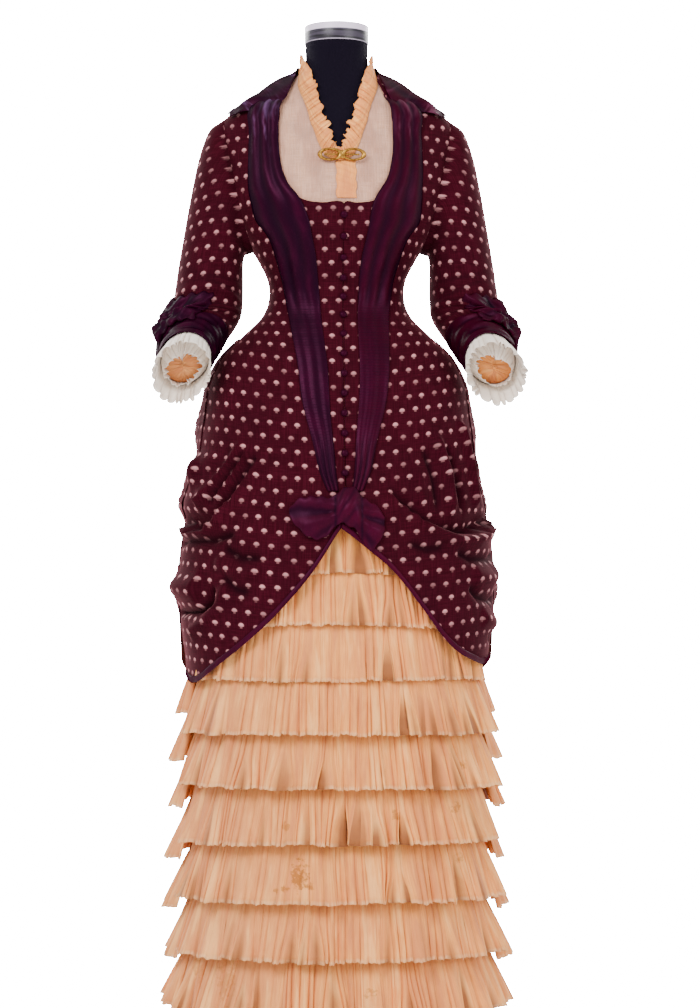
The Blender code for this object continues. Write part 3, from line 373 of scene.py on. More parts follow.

# %% [markdown]
# ## Satin
# The facings, collar, cuffs and bows are a plum satin. Light catches it in long soft streaks, because its
# weft floats over many threads, so the bump runs one way; the streaks are also painted lighter as painted
# sheen,
# and a painted lavender highlight lies on them over the shoulders in front. The two halves have faded apart:
# the wearer's right is bluer, and the bow is redder. Old satin has no bright rim, so its gloss fades where it
# turns away.

# %% The satin
satin, bench, shader = finish_of("satin", 0.40, sheen=0.0, specular=0.10, tint=(0.95, 0.22, 0.58, 1))
place = bench.put("ShaderNodeTexCoord", {}, {}).outputs["Object"]
px, py, pz = bench.parts(place)
side_share = bench.step(px, -0.02, 0.03)
tone = bench.blend(side_share, (0.0100, 0.0002, 0.0046, 1), (0.0215, 0.0002, 0.0042, 1))
tone = bench.blend(bench.step(pz, 0.79, 0.75, 0.0, 0.45), tone, (0.0480, 0.0020, 0.0110, 1))
height, slubs = woven(bench, 1100.0, 0.85)
streaks = bench.noise(bench.stretch(cloth_measure(bench), (46.0, 12.0, 1.0)), 1.0, 3.0, 0.6)
# Painted sheen: the satin is painted lighter along its streaks, which also set its roughness and bump.
tone = bench.blend(bench.step(streaks, 0.40, 0.75, 0.0, 0.55), tone, (0.036, 0.0012, 0.0130, 1))
# Painted highlight: a lavender gleam painted on the streaks over the shoulders, strongest in front.
painted_shoulder_gleam = bench.maths("MULTIPLY", bench.step(pz, 1.21, 1.30), bench.step(streaks, 0.50, 0.68, 0.0, 0.60))
painted_shoulder_gleam = bench.maths("MULTIPLY", painted_shoulder_gleam, bench.step(py, 0.02, -0.03, 0.35, 1.0))
painted_gleam_colour = bench.blend(side_share, (0.120, 0.062, 0.150, 1), (0.120, 0.030, 0.060, 1))
tone = bench.blend(painted_shoulder_gleam, tone, painted_gleam_colour)
# Faded patches, and painted shade in the grooves.
tone = faded_and_shaded(bench, tone, (0.0035, 0.0005, 0.0040, 1), groove_value(bench), 0.30, 40.0)
bench.feed(shader.inputs["Base Color"], tone)
bench.feed(shader.inputs["Roughness"], bench.step(streaks, 0.3, 0.7, 0.46, 0.34))
turned_away = bench.put("ShaderNodeLayerWeight", {}, {"Blend": 0.5}).outputs["Facing"]
bench.feed(shader.inputs["Specular IOR Level"], bench.step(turned_away, 0.35, 0.80, 0.10, 0.0))
fine_height = bench.maths("MULTIPLY", height, 0.12)
raise_bump(bench, shader, bench.maths("MULTIPLY_ADD", streaks, 1.0, fine_height), 0.0005)

# %% [markdown]
# ## Peach silk
# The frills are a thin peach silk that time has stained brown in a few places. Its pleats are modelled, and
# the groove value paints shade into the bottom of each pleat, dark and warm, as light that has passed through
# two layers of silk is. Broad bands run down the pleats, yellower or browner, and the hems have frayed pale.
# Each stain is an ellipse placed in the room's own measure, which noise tears into a ragged spot.

# %% The peach silk
STAINS = [
    (-0.0572, 0.235, 0.0085, 0.0140, 0.85), (-0.0447, 0.221, 0.0050, 0.0035, 0.75),
    (-0.0770, 0.217, 0.0045, 0.0035, 0.75), (-0.0904, 0.214, 0.0030, 0.0030, 0.60),
    (-0.0765, 0.303, 0.0040, 0.0050, 0.55), (0.0756, 0.318, 0.0042, 0.0060, 0.60),
    (0.1627, 0.325, 0.0050, 0.0060, 0.55), (0.1724, 0.383, 0.0050, 0.0055, 0.60),
    (0.1669, 0.253, 0.0040, 0.0060, 0.45), (0.0410, 0.075, 0.0070, 0.0055, 0.55),
    (-0.1581, 0.090, 0.0090, 0.0240, 0.40), (-0.1968, 0.095, 0.0060, 0.0090, 0.40),
]
peach, bench, shader = finish_of("peach_silk", 0.62, sheen=0.10, sheen_tint=(1.0, 0.80, 0.60, 1),
                                 sheen_rough=0.45, specular=0.30, tint=(1.0, 0.80, 0.62, 1))
place = bench.put("ShaderNodeTexCoord", {}, {}).outputs["Object"]
px, py, pz = bench.parts(place)
edge_noise = bench.noise(place, 130.0, 4.0, 0.7)
stained = 0.0
for stain_x, stain_z, half_x, half_z, depth in STAINS:
    dx = bench.maths("DIVIDE", bench.maths("SUBTRACT", px, stain_x), half_x)
    dz = bench.maths("DIVIDE", bench.maths("SUBTRACT", pz, stain_z), half_z)
    far = bench.maths("ADD", bench.maths("MULTIPLY", dx, dx), bench.maths("MULTIPLY", dz, dz))
    inwards = bench.maths("SUBTRACT", bench.maths("MULTIPLY", far, 0.35), 2.4)
    ragged = bench.maths("MULTIPLY_ADD", edge_noise, 5.0, inwards)
    spot = bench.step(ragged, 0.9, 0.1, 0.0, depth)
    stained = bench.maths("MAXIMUM", spot, stained)
in_front = bench.step(py, -0.02, -0.08)
stained = bench.maths("MULTIPLY", stained, in_front)
height, slubs = woven(bench, 1000.0, 0.6)
fine = bench.noise(bench.stretch(cloth_measure(bench), (420.0, 14.0, 1.0)), 1.0, 4.0, 0.65)
silk = bench.blend(bench.step(fine, 0.30, 0.72), (0.72, 0.240, 0.050, 1), (0.92, 0.375, 0.095, 1))
pink = bench.step(bench.noise(place, 9.0, 2.0), 0.45, 0.65, 0.0, 0.35)
silk = bench.blend(pink, silk, (0.78, 0.235, 0.075, 1))
greyed = bench.step(px, 0.02, -0.20, 0.0, 0.35)
silk = bench.blend(greyed, silk, (0.54, 0.250, 0.125, 1))
behind = bench.step(py, -0.05, 0.02, 0.0, 0.60)
silk = bench.blend(behind, silk, (0.84, 0.250, 0.075, 1))
panels = bench.noise(bench.stretch(cloth_measure(bench), (38.0, 6.0, 1.0)), 1.0, 3.0, 0.65)
silk = bench.blend(bench.step(panels, 0.48, 0.64, 0.0, 0.75), silk, (0.60, 0.190, 0.062, 1))
silk = bench.blend(bench.step(panels, 0.48, 0.36, 0.0, 0.60), silk, (0.98, 0.480, 0.160, 1))
across, down, _ = bench.parts(cloth_measure(bench))
fringe = bench.maths("MULTIPLY", bench.step(down, -0.0855, -0.0905), bench.step(fine, 0.35, 0.60, 0.05, 0.60))
fringe = bench.maths("MULTIPLY", fringe, bench.step(down, -0.110, -0.100))
silk = bench.blend(fringe, silk, (0.98, 0.56, 0.28, 1))
# Faded patches, and painted shade at the bottom of each pleat by the groove value.
silk = faded_and_shaded(bench, silk, (0.26, 0.080, 0.022, 1), groove_value(bench), 0.14, 18.0)
bench.feed(shader.inputs["Base Color"], bench.blend(stained, silk, (0.36, 0.110, 0.010, 1)))
raise_bump(bench, shader, bench.maths("MULTIPLY_ADD", fine, 6.0, height), 0.00020)
print("stains:", len(STAINS))

# %% [markdown]
# ## Batiste, gilt and the form's finishes
# The chemisette and the cuff frills are fine cotton batiste, gone ivory. The brooch is gilt brass. The form
# is covered in black jersey, its neck is closed by a dark cap whose bright top and thin bright foot are
# painted highlights, and its stand is painted steel.

# %% The other finishes
batiste, bench, shader = finish_of("batiste", 0.75, sheen=0.06, sheen_rough=0.6, specular=0.3)
height, slubs = woven(bench, 1200.0, 0.35)
TUCK_PITCH = 0.0042
across = bench.parts(cloth_measure(bench))[0]
tucks = bench.maths("SINE", bench.maths("MULTIPLY", across, 2 * math.pi / TUCK_PITCH))
# Painted shade in the troughs of the tucks.
painted_tuck_shade = bench.step(tucks, -1.0, 0.2, 0.80, 0.0)
ivory = bench.blend(bench.step(slubs, 0.3, 0.7), (0.60, 0.295, 0.185, 1), (0.74, 0.405, 0.275, 1))
crumple = bench.noise(bench.stretch(cloth_measure(bench), (34.0, 13.0, 1.0)), 1.0, 3.0, 0.55)
ivory = bench.blend(bench.step(crumple, 0.42, 0.62, 0.0, 0.60), ivory, (0.42, 0.190, 0.130, 1))
ivory = bench.blend(bench.maths("MULTIPLY", painted_tuck_shade, 0.12), ivory, (0.36, 0.27, 0.24, 1))
# Faded patches, and painted shade in the grooves.
ivory = faded_and_shaded(bench, ivory, (0.30, 0.20, 0.16, 1), groove_value(bench), 0.25, 30.0)
bench.feed(shader.inputs["Base Color"], ivory)
crumpled = bench.maths("MULTIPLY_ADD", crumple, 4.0, height)
raise_bump(bench, shader, bench.maths("MULTIPLY_ADD", tucks, 0.3, crumpled), 0.0005)

frill_white, bench, shader = finish_of("frill_batiste", 0.72, sheen=0.15, sheen_rough=0.6)
height, slubs = woven(bench, 1200.0, 0.35)
white = bench.blend(bench.step(slubs, 0.3, 0.7), (0.90, 0.76, 0.64, 1), (0.97, 0.89, 0.79, 1))
# Faded patches, and painted shade in the frill's pleats.
white = faded_and_shaded(bench, white, (0.46, 0.33, 0.24, 1), groove_value(bench), 0.18, 30.0)
bench.feed(shader.inputs["Base Color"], white)
raise_bump(bench, shader, height, 0.00015)

gilt, bench, shader = finish_of("gilt", 0.30, metallic=1.0)
place = bench.put("ShaderNodeTexCoord", {}, {}).outputs["Object"]
tarnish = bench.noise(place, 420.0, 3.0, 0.6)
metal = bench.blend(bench.step(tarnish, 0.35, 0.7), (0.46, 0.235, 0.040, 1), (0.10, 0.042, 0.008, 1))
bench.feed(shader.inputs["Base Color"], metal)
bench.feed(shader.inputs["Roughness"], bench.step(tarnish, 0.3, 0.7, 0.22, 0.48))
raise_bump(bench, shader, tarnish, 0.0003)

jersey, bench, shader = finish_of("jersey", 0.78, sheen=0.03, sheen_tint=(0.55, 0.48, 0.75, 1),
                                  sheen_rough=0.5, specular=0.05)
place = bench.put("ShaderNodeTexCoord", {}, {}).outputs["Object"]
px, py, pz = bench.parts(place)
round_neck = bench.maths("ARCTAN2", py, px)
ribs = bench.maths("SINE", bench.maths("MULTIPLY", round_neck, 260.0))
loops = bench.maths("SINE", bench.maths("MULTIPLY", pz, 5200.0))
lint = bench.noise(place, 900.0, 2.0, 0.7)
linted = bench.step(lint, 0.55, 0.80, 0.0, 0.5)
black = bench.blend(linted, (0.0034, 0.0018, 0.0062, 1), (0.011, 0.007, 0.017, 1))
bench.feed(shader.inputs["Base Color"], black)
raise_bump(bench, shader, bench.maths("MULTIPLY_ADD", ribs, loops, lint), 0.0002)

brushed, bench, shader = finish_of("brushed_cap", 0.34, specular=0.32)
place = bench.put("ShaderNodeTexCoord", {}, {}).outputs["Object"]
turned = bench.noise(bench.stretch(place, (12.0, 12.0, 260.0)), 1.0, 2.0)
height = bench.parts(place)[2]
# Painted highlights: the top band and a thin line at the foot are painted pale lavender, as reflected light.
painted_foot_highlight = bench.step(height, 1.4262, 1.4254, 0.0, 0.45)
top = bench.maths("MAXIMUM", bench.step(height, 1.4400, 1.4415), painted_foot_highlight)
side_tone = bench.blend(bench.step(turned, 0.40, 0.62), (0.006, 0.0045, 0.008, 1), (0.038, 0.030, 0.047, 1))
bench.feed(shader.inputs["Base Color"], bench.blend(top, side_tone, (0.66, 0.56, 0.70, 1)))
bench.feed(shader.inputs["Roughness"], bench.step(turned, 0.3, 0.7, 0.28, 0.40))
raise_bump(bench, shader, turned, 0.00008)

paint, bench, shader = finish_of("stand_paint", 0.42, metallic=0.0)
place = bench.put("ShaderNodeTexCoord", {}, {}).outputs["Object"]
orange_peel = bench.noise(place, 700.0, 2.0)
scuff = bench.noise(place, 45.0, 4.0, 0.7)
scuffed = bench.step(scuff, 0.62, 0.78, 0.0, 0.7)
enamel = bench.blend(scuffed, (0.016, 0.015, 0.017, 1), (0.09, 0.085, 0.08, 1))
bench.feed(shader.inputs["Base Color"], enamel)
bench.feed(shader.inputs["Roughness"], bench.step(scuff, 0.4, 0.7, 0.36, 0.62))
raise_bump(bench, shader, orange_peel, 0.0001)
print("finishes:", len(bpy.data.materials))

# %% [markdown]
# ## How a piece of cloth is laid
# Each piece is a grid of points over a body, in rows from its top edge down. The cloth helper turns the grid
# into a sheet, stores its flat measure for the weave and its grooves for the painted crease shade, and Solidify
# gives it the cloth's thickness on the outside. Then it hides the solids it stands for.

# %% The cloth helper
dressed = []


def own_measure(grid):
    """A flat measure from the grid itself: along each row from its middle, and down its columns."""
    flat = np.zeros(grid.shape[:2] + (2,))
    flat[:, 1:, 0] = np.cumsum(np.linalg.norm(np.diff(grid, axis=1), axis=2), axis=1)
    flat[:, :, 0] -= flat[:, [grid.shape[1] // 2], 0]
    flat[1:, :, 1] = -np.cumsum(np.linalg.norm(np.diff(grid, axis=0), axis=2), axis=0)
    return flat


def lay_cloth(name, grid, wall, finish, nodes, measure=None, groove=None, ring=False):
    """A sheet of cloth over a grid of points, thickened outwards."""
    rows, across = grid.shape[:2]
    measure = own_measure(grid) if measure is None else measure
    groove = np.zeros((rows, across)) if groove is None else np.clip(groove, 0, 1)
    keep = across - 1 if ring else across
    i, j = np.meshgrid(np.arange(rows - 1), np.arange(across - 1), indexing="ij")
    corners = [(i, j), (i + 1, j), (i + 1, j + 1), (i, j + 1)]
    faces = np.stack([a * keep + b % keep for a, b in corners], axis=-1).reshape(-1, 4)
    mesh = bpy.data.meshes.new(name)
    mesh.from_pydata(grid[:, :keep].reshape(-1, 3).tolist(), [], faces.tolist())
    flat = np.stack([measure[a, b] for a, b in corners], axis=2).reshape(-1)
    mesh.uv_layers.new(name="cloth").data.foreach_set("uv", flat.astype(np.float32))
    # The groove attribute is the amount of painted crease shade that the finishes blend in.
    deep = groove[:, :keep].reshape(-1).astype(np.float32)
    mesh.attributes.new("groove", "FLOAT", "POINT").data.foreach_set("value", deep)
    mesh.materials.append(finish)
    mesh.shade_smooth()
    piece = bpy.data.objects.new(name, mesh)
    bpy.context.scene.collection.objects.link(piece)
    thick = piece.modifiers.new("Wall", "SOLIDIFY")
    thick.thickness = wall
    thick.offset = 1.0
    thick.use_even_offset = False
    bpy.context.view_layer.objects.active = piece
    bpy.ops.object.modifier_apply(modifier="Wall")
    return dress(piece, nodes)


def dress(piece, nodes, slot=None):
    """Fix a finished piece to the dress in place of its solids."""
    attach(piece, "root")
    if nodes:
        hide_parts(*nodes)
        slots = {row["node"]: row["material_slot"] for row in frame["record"]["subparts"]}
        slot = slot or slots[nodes[0]]
    dressed.append(piece)
    return piece


def unevenness(first, second, seed, waves=7):
    """Soft hand-made unevenness from -1 to 1 over two measures in metres."""
    dice = np.random.default_rng(seed)
    total = 0.0
    for _ in range(waves):
        a, b = dice.uniform(-38, 38, 2)
        total = total + np.sin(a * first + b * second + dice.uniform(0, 6.3))
    return total / waves ** 0.5 / 1.4


# %% [markdown]
# ## The form and its stand
# Under the dress is a limbless form covered in jersey, smooth and closed. A flat grid is a quick start for
# it: its columns become turns and its rows heights, the first and last column are merged, and the two open
# ends are filled. The cap is a bevelled cylinder with an inset top, and the stand is one profile, spun.

# %% The form
def only(piece):
    """Select one piece alone and make it active."""
    bpy.ops.object.select_all(action="DESELECT")
    piece.select_set(True)
    bpy.context.view_layer.objects.active = piece


def edit_all(piece):
    only(piece)
    bpy.ops.object.mode_set(mode="EDIT")
    bpy.ops.mesh.select_all(action="SELECT")


def name_piece(name, finish):
    piece = bpy.context.object
    piece.name = name
    piece.data.name = name
    piece.data.materials.clear()
    piece.data.materials.append(finish)
    return piece


bpy.ops.mesh.primitive_grid_add(x_subdivisions=96, y_subdivisions=110, size=2)
form = name_piece("jersey_form", jersey)
flat = np.array([vertex.co[:] for vertex in form.data.vertices])
placed = TORSO_BODY.out(flat[:, 0] * math.pi, 0.800 + (flat[:, 1] + 1) / 2 * 0.624, -0.0006)
form.data.vertices.foreach_set("co", placed.reshape(-1))
edit_all(form)
bpy.ops.mesh.remove_doubles(threshold=0.00001)
bpy.ops.mesh.fill_holes(sides=0)
bpy.ops.mesh.select_all(action="SELECT")
bpy.ops.mesh.normals_make_consistent(inside=False)
bpy.ops.object.mode_set(mode="OBJECT")
bpy.ops.object.shade_smooth_by_angle(angle=math.radians(40))
dress(form, ["form_torso"])

# %% The neck cap
bpy.ops.mesh.primitive_cylinder_add(vertices=96, radius=0.0465, depth=0.026, location=(0, 0, 1.4373))
cap = name_piece("neck_cap", brushed)
bpy.ops.object.transform_apply(location=True, rotation=False, scale=False)
edit_all(cap)
bpy.ops.mesh.select_mode(type="FACE")
bpy.ops.mesh.select_all(action="DESELECT")
bpy.ops.object.mode_set(mode="OBJECT")
for face in cap.data.polygons:
    face.select = face.normal.z > 0.9
bpy.ops.object.mode_set(mode="EDIT")
bpy.ops.mesh.inset(thickness=0.0045, depth=0)
bpy.ops.mesh.inset(thickness=0.0012, depth=-0.0010)
bpy.ops.object.mode_set(mode="OBJECT")
soften = cap.modifiers.new("Rounding", "BEVEL")
soften.width, soften.segments, soften.limit_method = 0.0016, 3, "ANGLE"
bpy.ops.object.modifier_apply(modifier="Rounding")
bpy.ops.object.shade_smooth_by_angle(angle=math.radians(35))
dress(cap, ["form_neck_cap"])

# %% The stand
STAND_PROFILE = [
    (0.0, 0.7997), (0.034, 0.7997), (0.034, 0.7937), (0.0125, 0.7877), (0.0125, 0.042), (0.0150, 0.030),
    (0.022, 0.018), (0.150, 0.012), (0.160, 0.006), (0.160, 0.0), (0.0, 0.0),
]
profile = bpy.data.meshes.new("stand_profile")
edges = [(i, i + 1) for i in range(len(STAND_PROFILE) - 1)]
profile.from_pydata([(r, 0, z) for r, z in STAND_PROFILE], edges, [])
stand = bpy.data.objects.new("pole_stand", profile)
bpy.context.scene.collection.objects.link(stand)
profile.materials.append(paint)
edit_all(stand)
bpy.ops.mesh.spin(steps=72, angle=2 * math.pi, center=(0, 0, 0), axis=(0, 0, 1))
bpy.ops.mesh.select_all(action="SELECT")
bpy.ops.mesh.remove_doubles(threshold=0.00002)
bpy.ops.mesh.normals_make_consistent(inside=False)
bpy.ops.object.mode_set(mode="OBJECT")
soften = stand.modifiers.new("Rounding", "BEVEL")
soften.width, soften.segments, soften.limit_method = 0.0015, 2, "ANGLE"
bpy.ops.object.modifier_apply(modifier="Rounding")
bpy.ops.object.shade_smooth_by_angle(angle=math.radians(35))
dress(stand, ["stand"])
print("form, cap and stand faces:", len(form.data.polygons), len(cap.data.polygons), len(stand.data.polygons))

# %% [markdown]
# ## The underskirt
# A plain skirt of the same silk hangs from the waist and carries the frills. Nobody sees much of it, so it is
# the bare curve of the skirt body with a little sway.

# %% The underskirt
turns = np.linspace(-math.pi, math.pi, 121)[None, :]
levels = np.linspace(0.995, 0.0415, 60)[:, None]
sway = 0.0010 * unevenness(turns * 0.2, levels, 3) * smooth(0.95, 0.6, levels)
sway[:, -1] = sway[:, 0]
grid = SKIRT_BODY.out(turns, levels, sway - 0.0012)
underskirt = lay_cloth("underskirt_silk", grid, 0.0008, peach, ["underskirt"], ring=True)

# %% [markdown]
# ## Pleats
# The frills are knife pleats about 10 mm wide, pressed by hand, so no two are alike: each has its own width,
# depth and lean, some have sprung open, and the raw lower edge has worn ragged. A row of pleats is made as
# columns, six to a pleat, whose heights run from the groove up over the fold.

# %% Knife pleats
PLEAT_ALONG = np.array([0.0, 0.11, 0.32, 0.56, 0.82, 0.95])
PLEAT_LIFT = np.array([-1.0, 0.10, 0.78, 1.0, 0.82, 0.0])


def pleat_columns(count, seed):
    """Places from 0 to 1, heights from -1 to 1, and each pleat's own strength, lean, drop and opening."""
    dice = np.random.default_rng(seed)
    widths = np.clip(1 + 0.55 * dice.standard_normal(count), 0.35, 2.6)
    edges = np.concatenate([[0.0], np.cumsum(widths)]) / widths.sum()
    places = (edges[:-1, None] + np.diff(edges)[:, None] * PLEAT_ALONG).ravel()
    broad = np.convolve(dice.standard_normal(count + 6), np.ones(7) / 7, "valid") * 1.9
    own = np.clip(0.95 + 0.36 * dice.standard_normal(count) + 0.45 * broad, 0.16, 2.0)
    lean = np.convolve(dice.standard_normal(count + 4), np.ones(5) / 5, "valid") * 1.6
    drop = dice.uniform(-1.0, 1.0, count)
    opened = (dice.uniform(0, 1, count) < 0.10) * dice.uniform(0.5, 1.0, count)
    made = [np.repeat(values, len(PLEAT_ALONG)) for values in (own, lean, drop, opened)]
    ends = (1.0, -1.0, own[-1], lean[-1], drop[-1], 0.0)
    return [np.append(values, end) for values, end in zip([places, np.tile(PLEAT_LIFT, count)] + made, ends)]


def even_angles(body, z, start, end, places):
    """Angles at even measures along the body between two angles."""
    angles = np.linspace(start, end, 721)
    points = body.point(angles, z)
    run = np.concatenate([[0.0], np.cumsum(np.linalg.norm(np.diff(points, axis=0), axis=1))])
    return np.interp(places * run[-1], run, angles), run[-1]


# %% [markdown]
# ## The frills
# Sixteen frills climb the skirt, nine in front and seven behind, each hanging from a straight seam hidden
# under the one above. Each billows in ten soft waves, as its solid does, and the fine pleats ride on those.
# The flat measure follows the pleats, so that the silk's streaks run down them.

# %% The frills
FRONT_TIERS = [
    (0.6500, 27, 0.0080, 0.0025), (0.5750, 48, 0.0100, 0.0035), (0.4990, 75, 0.0125, 0.0040),
    (0.4245, 76, 0.0240, 0.0055), (0.3500, 76, 0.0260, 0.0060), (0.2750, 76, 0.0260, 0.0060),
    (0.1950, 76, 0.0260, 0.0065), (0.1160, 76, 0.0270, 0.0065), (0.0375, 76, 0.0280, 0.0070),
]
BACK_TIERS = [
    (0.4520, 0.0185, 0.0050), (0.3850, 0.0270, 0.0060), (0.3170, 0.0270, 0.0060), (0.2450, 0.0280, 0.0065),
    (0.1750, 0.0290, 0.0065), (0.1050, 0.0290, 0.0070), (0.0375, 0.0290, 0.0070),
]
TIER_DEPTH, TIER_WAVES, PLEAT_PITCH = 0.0885, 10, 0.0102


def parted(places, run, t, seed, count):
    """Pleats that have sprung apart: how far columns move aside, and how deep the opening is, which also sets
    its painted shade.
    """
    dice = np.random.default_rng(seed)
    aside, deep = np.zeros((len(t), len(places))), np.zeros((len(t), len(places)))
    for _ in range(count):
        away = (places - dice.uniform(0.06, 0.94)) * run
        size = dice.uniform(0.5, 1.0)
        reach = smooth(dice.uniform(0.0, 0.45), 1.0, t)
        away = away - away[np.argmin(np.abs(away))]
        aside += np.sign(away) * 0.0075 * size * np.exp(-(away / 0.018) ** 2) * reach
        deep += (np.abs(away) < 0.0016) * size * reach
    return aside, deep


def lay_frill(name, node, hem, start, end, root, flare, wave, phase, seed):
    _, run = even_angles(SKIRT_BODY, hem, start, end, np.array([0.0, 1.0]))
    places, lift, own, lean, drop, opened = pleat_columns(int(run / PLEAT_PITCH), seed)
    base, _ = even_angles(SKIRT_BODY, hem, start, end, places)
    t = np.linspace(0.0, 1.0, 9)[:, None]
    share = (base - start) / (end - start) * TIER_WAVES
    local = share - np.floor(share)
    warp = np.where(local < 0.76, local / 1.52, 0.5 + (local - 0.76) / 0.48)
    billow = -np.cos(2 * math.pi * warp) * (1 + 0.25 * np.sin(phase + 2.4 * np.floor(share)))
    aside, deep = parted(places, run, t, seed + 200, max(4, int(run / 0.055)))
    ends = smooth(0.0, 0.03, np.minimum(places, 1 - places))
    angle = base + (lean * 0.013 * t ** 1.5 + aside / 0.2) * ends
    depth = np.minimum(0.0006 + 0.0030 * t, 0.20 * flare) * own
    height = depth * (lift + 1) - depth * (0.55 * t + opened * 0.9 * t * (lift < 0.5)) - 0.0060 * deep * ends
    offset = root + flare * t + wave * billow * t + np.maximum(height, 0.0)
    ragged = t ** 3 * (0.0017 * drop + 0.0009 * np.sin(places * run * 900 + seed))
    ragged = ragged + t ** 2 * 0.0028 * unevenness(places * run * 0.5, 0.05 * seed, seed)
    z = hem + TIER_DEPTH * (1 - t) + ragged
    # Painted shade: dark at the bottom of each pleat, in sprung pleats, at the top under the frill above, and
    # in the openings.
    groove = ((1 - lift) / 2) ** 2.4 * (0.05 + 0.30 * t) * np.clip(own, 0.1, 1.3)
    groove = groove + 0.5 * opened * t * (lift < 0.3)
    groove = groove + 0.15 * smooth(0.25, 0.0, t) + 1.7 * deep
    grid = SKIRT_BODY.out(angle, z, offset)
    flat = np.stack(np.broadcast_arrays(places * run * 1.5, -0.0925 * t), axis=-1)
    piece = lay_cloth(name, grid, 0.0005, peach, [node], measure=flat, groove=groove * 0.85)


for i, (hem, degrees, flare, wave) in enumerate(FRONT_TIERS):
    reach = math.radians(degrees + (0.9 if degrees > 75 else 0.0))
    lay_frill(f"front_frill_{i + 1}", f"front_tier_{i + 1}", hem, -reach, reach, 0.0015, flare, wave,
              1.7 * i, 11 + i)
for i, (hem, flare, wave) in enumerate(BACK_TIERS):
    start = math.radians(77.0)
    lay_frill(f"back_frill_{i + 1}", f"back_tier_{i + 1}", hem, start, 2 * math.pi - start, 0.0018,
              flare, wave, 0.8 + 1.3 * i, 31 + i)

# %% [markdown]
# ## Folds drawn on the figure
# The main folds of the looped hips aren't left to chance: each is a line, read off the dress as degrees
# round the figure and height, with a size and a width. A ridge stands out, a trough sinks in, and a rim is
# the mouth of a loop: it stands out below its line and drops sharply into a pocket above it. Troughs and
# pockets are also darkened with painted shade.

# %% Fold lines
FIGURE_RADIUS, FOLD_SHARE = 0.2, 2.0


def from_line(s, z, line):
    """Distance above a line of degrees and heights, how far along it, and its length, in metres."""
    points = [(math.radians(degrees) * FIGURE_RADIUS, height) for degrees, height in line]
    nearest, signed, run, start = np.full(s.shape, 9.0), np.zeros(s.shape), np.zeros(s.shape), 0.0
    for (s0, z0), (s1, z1) in zip(points, points[1:]):
        ds, dz = s1 - s0, z1 - z0
        length = math.hypot(ds, dz)
        t = np.clip(((s - s0) * ds + (z - z0) * dz) / length ** 2, 0, 1)
        away_s, away_z = s - s0 - t * ds, z - z0 - t * dz
        far = np.hypot(away_s, away_z)
        closer = far < nearest
        nearest = np.where(closer, far, nearest)
        signed = np.where(closer, far * np.sign(ds * away_z - dz * away_s + 1e-12), signed)
        run = np.where(closer, start + t * length, run)
        start += length
    return signed, run, start


def fold_height(s, z, folds):
    """All the folds of a list together: height in metres, and painted groove shade from 0 to 1."""
    height, groove = np.zeros(s.shape), np.zeros(s.shape)
    for kind, size, width, line in folds:
        size *= 1.5 if kind == "rim" else FOLD_SHARE
        signed, run, length = from_line(s, z, line)
        ends = smooth(0, 0.014, run) * smooth(0, 0.014, length - run)
        close = np.exp(-(signed / width) ** 2)
        if kind == "rim":
            ends = smooth(0, 0.05, run) * smooth(-0.001, 0.006, length - run)
            below = np.where(signed < 0, close, np.exp(-(signed / 0.0022) ** 2))
            pocket = np.exp(-((signed - 0.0075) / 0.0060) ** 2)
            height += ends * (size * below - 0.55 * size * pocket)
            groove += ends * np.exp(-((signed - 0.0065) / 0.0048) ** 2)
        else:
            height += ends * size * close
            groove += ends * close * (1.0 if size < 0 else -0.2) * min(1.0, abs(size) / 0.005)
    return height, groove


# %% [markdown]
# ## The polonaise fronts
# Each front is one length of brocade from the shoulder seam to the cutaway edge over the frills. Its rows
# follow the solids: past the neckline and armhole, down the closure and the side seam, then over the loops
# to the cutaway. Two bodies are blended at the loops: the dress above, and the fuller drapery below.

# %% Outline of the fronts
BODICE_OUT, BROCADE_WALL = 0.0042, 0.0012
CLOSURE_X, NECK_SHIFT = 0.006, -0.004
FRONT_NECK = [
    (0, 0.0500, 1.3775), (8, 0.0582, 1.3715), (16, 0.0600, 1.3655), (25, 0.0605, 1.3590), (50, 0.0715, 1.3370),
    (70, 0.0790, 1.3120), (90, 0.0815, 1.2850), (110, 0.0815, 1.2620), (135, 0.0780, 1.2360),
    (160, 0.0700, 1.2100), (180, 0.0590, 1.1900),
]
FRONT_SKIRT = [
    (0.0470, 1.1800, 1.1140), (0.0240, 1.1765, 1.1030), (None, 1.1760, 1.0920), (None, 1.1420, 1.0780),
    (None, 1.1080, 1.0640), (None, 1.0800, 1.0500), (None, 1.0560, 1.0360), (None, 1.0330, 1.0200),
    (None, 1.0080, 1.0000), (None, 0.9800, 0.9760), (None, 0.9450, 0.9430), (None, 0.8950, 0.8930),
    (None, 0.8250, 0.8200), (None, 0.7400, 0.7050),
]
CUTAWAY = {
    1: [(0.000, 0.714), (0.041, 0.682), (0.069, 0.658), (0.112, 0.606), (0.147, 0.559), (0.196, 0.526)],
    -1: [(0.000, 0.714), (0.028, 0.670), (0.083, 0.601), (0.125, 0.560), (0.168, 0.524), (0.199, 0.500)],
}
CUTAWAY_BACK = {1: 0.535, -1: 0.512}


def armhole(step, front, shrink=0.0):
    """Angle and height of the armhole's edge at a step from its top, in degrees."""
    turn = np.radians(step)
    reach = (math.radians(24.0) - shrink / 0.16) * np.abs(np.sin(turn)) ** 0.8
    z = 1.2180 + (0.0955 - shrink) * np.cos(turn)
    return (math.pi / 2 - reach if front else math.pi / 2 + reach), z


